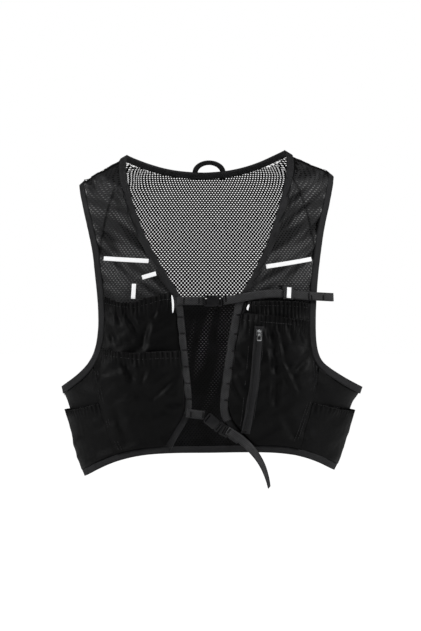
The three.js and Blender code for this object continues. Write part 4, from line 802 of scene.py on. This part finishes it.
BACK = [
    "back_panel", "neck_binding", "armhole_binding_right", "armhole_binding_left",
    "hem_binding_back",
]
angle_span = (0.49 * math.pi, 1.51 * math.pi)
piece, points = knit("back_mesh", BACK, angle_span, height_span=(-380, 26), lift=0.5)
ripple = slanted_noise(points, length=60, breadth=22, slope=0.1, height=1.6, seed=6.0)
soften(piece, points, ripple)
dress(piece, shade_yarn, "mesh_cloth", "back_panel")
print("back mesh:", 2 * len(piece.data.polygons), "triangles")

# %% [markdown]
# Bindings, gear loops, straps and strips keep their solids' form. They are rounded by a
# crease-kept subdivision, and a fine noise lets the tape's face rise and fall as sewn elastic
# does. The bindings are swollen a little, to close the slits that the solids' clearance leaves
# beside them. The gear loops are drawn in at their bar tacks, and the slim strips are thinned to
# crescents.

# %% Tapes and straps
ARMHOLE_GROW, BINDING_GROW = 0.7, 0.45
LOOP_NARROW, LOOP_BROAD, LOOP_RISE = 0.76, 1.04, 7.0  # shares of the width, and the bow's run-in
STRIP_ON_MESH, STRIP_ON_CLOTH = 1.0, 0.2  # how far the strips are lifted, in millimetres
MESH_FOOT = -150  # the strips above this height lie on the mesh
TAPES = {
    "binding_tape": [
        "armhole_binding_right", "armhole_binding_left", "neck_binding", "front_binding_right",
        "front_binding_left", "hem_binding_right", "hem_binding_left", "hem_binding_back",
        "hang_loop", "zip_tape",
    ],
    "webbing": [
        "gear_loops_right", "gear_loops_left", "upper_strap_right", "upper_strap_left",
        "upper_strap_end", "lower_strap_right", "lower_strap_left", "lower_strap_end",
        "strap_keeper",
    ],
}
LOOKS = {"binding_tape": binding, "webbing": webbing}
LOOP_TACKS = {  # where thread closes the loops, in the picture
    "gear_loops_right": [
        (180.5, 317), (182.5, 333.5), (184.5, 350), (186.5, 366.5), (188, 383), (189.2, 399),
    ],
    "gear_loops_left": [
        (239, 315), (236.8, 334), (234.4, 351), (231.8, 368), (229.2, 383.6), (226.6, 400),
    ],
}


def pinch(points, tacks):
    """Draws a webbing in at its bar tacks, so that each loop between them bows out."""
    line = np.polyval(np.polyfit(points[:, 2], points[:, 0], 4), points[:, 2])
    heights = np.array([on_front(*tack)[1] for tack in tacks]) / MM
    away = np.abs(points[:, 2, None] - heights).min(1)
    bow = np.sin(np.clip(away / LOOP_RISE, 0, 1) * math.pi / 2)
    width = LOOP_NARROW + (LOOP_BROAD - LOOP_NARROW) * bow
    points[:, 0] = line + (points[:, 0] - line) * width


def make_crescent(points):
    """Thins a strip towards its ends and bends it."""
    slope, start = np.polyfit(points[:, 2], points[:, 0], 1)
    line = start + slope * points[:, 2]
    share = (points[:, 2] - points[:, 2].mean()) / np.ptp(points[:, 2]) * 2  # -1 to 1
    thin = 0.75 * np.sqrt(np.clip(1.05 - share**2, 0.05, 1))
    points[:, 0] = line + (points[:, 0] - line) * thin + np.sign(line) * (share**2 - 0.5)


for slot, names in TAPES.items():
    for name in names:
        swell = BINDING_GROW if "_binding" in name else 0.0
        if "armhole" in name:
            swell = ARMHOLE_GROW
        piece, points = soft_copy(name, name + "_tape", TAPE_LEVELS, grow=swell)
        rise = slow_noise(points, size=6, height=0.25, seed=len(name))
        points += way_out(points) * rise[:, None]
        if name in LOOP_TACKS:
            pinch(points, LOOP_TACKS[name])
        set_points(piece, points)
        dress(piece, LOOKS[slot], slot, name)
for name in nodes:
    if name.startswith("strip_"):
        piece, points = soft_copy(name, name + "_film", TAPE_LEVELS)
        if "slim" in name:
            make_crescent(points)
        lift = STRIP_ON_MESH if points[:, 2].mean() > MESH_FOOT else STRIP_ON_CLOTH
        set_points(piece, points + way_out(points) * lift)
        dress(piece, film, "reflective", name)
print("tapes:", sum(len(names) for names in TAPES.values()))

# %% [markdown]
# Buckles, ladder lock, slider and pull are hard. A small bevel on each edge catches the light as
# a moulded or cast edge does.

# %% Hardware
PLASTIC_BEVEL, METAL_BEVEL = 0.25 * MM, 0.15 * MM
BEVEL_STEPS = 2
BEVELLED = math.radians(35)  # edges that turn more get a bevel
HARD = {
    "upper_buckle_socket": plastic, "upper_buckle_plug": plastic, "lower_buckle_socket": plastic,
    "lower_buckle_plug": plastic, "ladder_lock": plastic, "zip_slider": plated, "zip_pull": plated,
}
for name, look in HARD.items():
    piece = tidy_copy(name, name + "_moulded")
    rounding = piece.modifiers.new("rounding", "BEVEL")
    rounding.width = PLASTIC_BEVEL if look is plastic else METAL_BEVEL
    rounding.segments = BEVEL_STEPS
    rounding.limit_method = "ANGLE"
    rounding.angle_limit = BEVELLED
    bpy.ops.object.modifier_apply(modifier="rounding")
    bpy.ops.object.shade_smooth_by_angle(angle=math.radians(40))
    slot = "black_plastic" if look is plastic else "zip_metal"
    dress(piece, look, slot, name, body="zip_pull" if name == "zip_pull" else "vest")
print("hardware:", list(HARD))

# %% [markdown]
# The mesh also covers the two shoulder straps. It lies a little over the dark lining and takes
# the same wrinkles. Its yarn is painted darker in their valleys, as painted shade, and paler in
# the lit patches and on the rises, as painted light.

# %% Mesh on the shoulder straps
for side, half_turns in (("right", (1.49, 1.95)), ("left", (0.05, 0.51))):
    angle_span = (half_turns[0] * math.pi, half_turns[1] * math.pi)
    strap = f"front_panel_{side}"
    name = f"front_mesh_{side}"
    piece, points = knit(name, [strap], angle_span, height_span=(-178, 24), lift=1.5)
    wrinkles = strap_wrinkles(points)
    points += way_out(points) * wrinkles[:, None]
    set_points(piece, points)
    # Painted shade in the valleys; where this is low, painted light on the lit patches and rises.
    valley = 1 - strap_light(points) - LIGHT_ON_RISE * wrinkles
    store(piece, "valley", np.clip(valley, 0, 1))
    dress(piece, yarn, "mesh_cloth", f"front_panel_{side}")
    print(piece.name, 2 * len(piece.data.polygons), "triangles")

# %% [markdown]
# Sewing holds the vest together and shows on every edge. One stitch is modelled: a short thread
# that is thick in its middle and thinner at both ends. It is repeated along the bindings' long
# edges, a little in from the edge, each copy turned to lie on its face.

# %% Stitches
STITCH_INSET, STITCH_PITCH, STITCH_SHARE = 1.5, 3.0, 0.68  # the share of its pitch that shows
STITCH_BREADTH, STITCH_LIFT, STITCH_FLATNESS = 0.55, 0.12, 0.8
STITCH_TAPER = 1.2
OUTER = 0.35  # the least cosine between an outer face and the way out
LEAST_EDGE, LEAST_FACE = 1.2, 1.6  # shorter edges and narrower faces get no stitches
bpy.ops.object.select_all(action="DESELECT")
bpy.ops.mesh.primitive_cylinder_add(vertices=5, radius=0.5, depth=1, end_fill_type="TRIFAN")
stitch = bpy.context.object
bpy.ops.object.mode_set(mode="EDIT")
bpy.ops.mesh.select_all(action="SELECT")
bpy.ops.mesh.bisect(plane_co=(0, 0, 0), plane_no=(0, 0, 1))
bpy.ops.object.mode_set(mode="OBJECT")
STITCH = np.array([v.co[:] for v in stitch.data.vertices])
STITCH_FACES = [list(f.vertices) for f in stitch.data.polygons]
STITCH[:, :2] *= 1 - STITCH_TAPER * STITCH[:, 2:] ** 2
bpy.data.objects.remove(stitch)
print("one stitch:", len(STITCH_FACES), "faces")


def many(name, frames, material, body="vest"):
    """Copies of the stitch. A frame is a copy's place and its three sized directions."""
    points = np.concatenate([place + STITCH @ np.array(axes) for place, axes in frames])
    starts = range(0, len(points), len(STITCH))
    polygons = [[start + i for i in face] for start in starts for face in STITCH_FACES]
    mesh = bpy.data.meshes.new(name)
    mesh.from_pydata(points * MM, [], polygons)
    mesh.polygons.foreach_set("use_smooth", [True] * len(polygons))
    mesh.materials.append(material)
    piece = add_object(name, mesh)
    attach(piece, body)


def stitch_frame(place, along, out, length, breadth=STITCH_BREADTH):
    """A stitch that lies along one direction on a face."""
    along = along / np.linalg.norm(along)
    side = np.cross(out, along)
    thick = out * breadth * STITCH_FLATNESS
    return place + out * STITCH_LIFT, (side * breadth, thick, along * length)


def edge_stitches(name):
    """Stitches beside the sharp long edges of a node's outer faces."""
    piece = tidy_copy(name, "rough")
    bm = bmesh.new()
    bm.from_mesh(piece.data)
    bpy.data.objects.remove(piece)
    frames = []
    for edge in bm.edges:
        if len(edge.link_faces) != 2 or edge.calc_face_angle(0) < SHARP:
            continue
        face = max(edge.link_faces, key=lambda f: f.calc_area())
        middle = np.array((edge.verts[0].co + edge.verts[1].co) / 2) / MM
        out = np.array(face.normal)
        if out @ way_out(middle[None])[0] < OUTER:
            continue
        a, b = (np.array(v.co) / MM for v in edge.verts)
        along = b - a
        length = np.linalg.norm(along)
        inward = np.array(face.calc_center_median()) / MM - middle
        inward -= along * (inward @ along) / length**2
        if length < LEAST_EDGE or np.linalg.norm(inward) < LEAST_FACE:
            continue
        inward /= np.linalg.norm(inward)
        count = max(1, round(length / STITCH_PITCH))
        for k in range(count):
            place = a + along * (k + 0.5) / count + inward * STITCH_INSET
            frames.append(stitch_frame(place, along, out, STITCH_SHARE * length / count))
    bm.free()
    return frames


frames = []
for name in TAPES["binding_tape"]:
    if "binding" in name:
        frames += edge_stitches(name)
many("binding_stitches", frames, sewing)
print("binding stitches:", len(frames))

# %% [markdown]
# Bar tacks close the gear loops every 21 mm, and hold the straps' ends. Each is a dense zigzag of
# thread across the webbing, here a row of close stitches in a darker thread that carries painted
# shade. A ray from the front finds the face that each one lies on.

# %% Bar tacks and seams
RAY_START, RAY_REACH = -0.4, 0.42  # from well before the chest to just behind the axis
TACK_DEPTH, TACK_PITCH, TACK_BREADTH = 2.2, 0.55, 0.6
LOOP_TACK_WIDTH, STRAP_TACK_WIDTH = 6.5, 7.5
SEAM_PITCH, SEAM_LENGTH, SEAM_BREADTH = 3.2, 2.3, 0.6
FRONT = tree_of([n for n in nodes if "binding" not in n])


def on_cloth(px, py, tree=FRONT, depth=95 * MM):
    """The place on the vest's front behind a spot in the picture, and its outward direction."""
    x, z = on_front(px, py, depth)
    hit = tree.ray_cast(Vector((x, RAY_START, z)), Vector((0, 1, 0)), RAY_REACH)
    if hit[0] is None:
        return None
    out = np.array(hit[1])
    return np.array(hit[0]) / MM, out if out[1] < 0 else -out


def bar_tack(px, py, turn, width):
    """Close stitches side by side across a webbing, which runs turn radians off upright."""
    found = on_cloth(px, py)
    if found is None:
        return []
    place, out = found
    across = np.array([math.cos(turn), 0, math.sin(turn)])
    across -= out * (across @ out)
    across /= np.linalg.norm(across)
    up = np.cross(across, out)
    count = round(width / TACK_PITCH)
    places = [place + across * width * ((k + 0.5) / count - 0.5) for k in range(count)]
    return [stitch_frame(spot, up, out, TACK_DEPTH, TACK_BREADTH) for spot in places]


frames = []
for px, py in LOOP_TACKS["gear_loops_right"] + LOOP_TACKS["gear_loops_left"]:
    frames += bar_tack(px, py, 0, LOOP_TACK_WIDTH)
for px, py, turn in (
    (184, 301, 1.5), (199, 301, 1.5), (226, 299, 1.6), (312, 298, 1.55), (324, 298, 1.55),
    (191, 414.5, 1.5), (203, 415, 1.5), (229, 431, 0.9), (266.5, 484, 0.1),
    (281.5, 286, 0), (284, 300, 0), (256, 322.5, 0), (243.5, 432, 0.2),
):
    frames += bar_tack(px, py, turn, STRAP_TACK_WIDTH)
many("bar_tacks", frames, tack_thread)
print("bar tack threads:", len(frames))

SEAMS = [
    # upper pocket hems
    [(104, 303), (119, 306.5), (134, 307.6), (148, 304.2), (160, 300.2), (172, 299)],
    [(100.5, 355), (119, 357.3), (139.5, 359.4), (165, 358), (181, 358)],
    [(247, 306), (262, 305.5), (290, 306), (314, 308)],
    [(243, 320), (270.4, 322.5), (300, 325), (314, 327)],
    # side pocket bands
    [(68, 411), (82, 408), (96, 405)], [(318, 405), (335, 408), (353, 411)],
    # seams between the front and the sides
    [(94.2, 371), (99.4, 399), (107.4, 428), (118.9, 452)],
    [(97, 371), (102.2, 399), (110.2, 428), (121.7, 451)],
    [(316.3, 361), (317.4, 376), (311.7, 400), (302.5, 428), (296.5, 445)],
    [(313.5, 361), (314.6, 376), (308.9, 400), (299.7, 428), (293.7, 444)],
    # zip pocket, beside the tape
    [(249.6, 326), (248, 354), (246, 375), (241.5, 420), (238.8, 431)],
    [(263.2, 326), (262, 354), (260, 375), (253.6, 420), (250.8, 433)],
]


def spots_along(path, pitch):
    """Places in the picture at an even pitch along a path, in pixels."""
    path = np.array(path)
    runs = np.concatenate([[0], np.cumsum(np.linalg.norm(np.diff(path, axis=0), axis=1))])
    steps = np.arange(0, runs[-1], pitch)
    return np.stack([np.interp(steps, runs, path[:, k]) for k in (0, 1)], 1)


def seam(path):
    """Stitches at an even pitch along a path in the picture."""
    found = [on_cloth(*spot) for spot in spots_along(path, SEAM_PITCH * MM / PIXEL)]
    frames = []
    for here, after in zip(found, found[1:]):
        if here is None or after is None:
            continue
        along = after[0] - here[0]
        if np.linalg.norm(along) > 3 * SEAM_PITCH:  # it would cross from one cloth to another
            continue
        middle = (here[0] + after[0]) / 2
        frames.append(stitch_frame(middle, along, here[1], SEAM_LENGTH, SEAM_BREADTH))
    return frames


frames = [f for path in SEAMS for f in seam(path)]
many("seam_stitches", frames, sewing)
print("seam stitches:", len(frames))

# %% [markdown]
# The zip's teeth are a coil of nylon. Each turn shows as two small beads beside the tape's
# middle, 1.3 mm from the next. The zip is closed, so the beads meet all the way up to the slider.

# %% Zip teeth
TOOTH_PITCH = 1.0  # in pixels
TOOTH_LENGTH, TOOTH_BREADTH, TOOTH_LIFT = 2.1, 0.8, 0.1
TOOTH_AWAY = 0.75  # from the tape's middle
TOOTH_SLANT = 0.15
TAPE = tree_of(["zip_tape"])
ZIP_LINE = [(256.4, 338), (255.4, 354), (253.4, 375), (247.8, 420), (245, 431)]
frames = []
for spot in spots_along(ZIP_LINE, TOOTH_PITCH):
    found = on_cloth(*spot, tree=TAPE, depth=100 * MM)
    if found is None:
        continue
    place, out = found
    side = np.cross([0.1, 0, 1], out)
    side /= np.linalg.norm(side)
    for sign in (-1, 1):
        middle = place + side * sign * TOOTH_AWAY + out * TOOTH_LIFT
        along = side + sign * TOOTH_SLANT * np.cross(out, side)
        frames.append(stitch_frame(middle, along, out, TOOTH_LENGTH, TOOTH_BREADTH))
many("zip_teeth", frames, plastic)
print("zip teeth:", len(frames))

# %% [markdown]
# Every cloth is a sheet, cut flat and hung. Its flat area is half the skin of its solid, and the
# cut is as wide and as long as the solid is when it is rolled out. The knitted meshes' sizes come
# from their cells.

# %% Flat sizes
LEAST_SHARE = 0.3  # of its width times length, that a cloth has to fill
USUAL_SHARE = 0.8  # it gives the width where the rolled-out one can't be right


def flat_cut(name):
    """A cloth's flat width, length and area in metres, from its solid."""
    mesh = nodes[name].data
    points = np.array([v.co[:] for v in mesh.vertices])
    mesh.calc_loop_triangles()
    area = sum(t.area for t in mesh.loop_triangles) / 2
    turn = np.unwrap(np.sort(np.arctan2(points[:, 0], -points[:, 1]) % (2 * math.pi)))
    gap = np.diff(np.concatenate([turn, [turn[0] + 2 * math.pi]])).max()
    angle = 2 * math.pi - gap
    radius = np.median(np.hypot(points[:, 0], points[:, 1]))
    width, length = angle * radius, np.ptp(points[:, 2])
    if not LEAST_SHARE * width * length <= area <= width * length:
        width = area / length / USUAL_SHARE
    return round(float(width), 3), round(float(length), 3), round(float(area), 5)


print("cloth, flat size in metres and area in square metres")
for name in nodes:
    for ending in ("_cloth", "_lining"):
        piece = bpy.data.objects.get(name + ending)
        if piece:
            width, length, area = flat_cut(name)
            print(name, width, length, area)
for name, (width, length, area) in knitted.items():
    area = min(area, width * length)
    print(name, width, length, area)
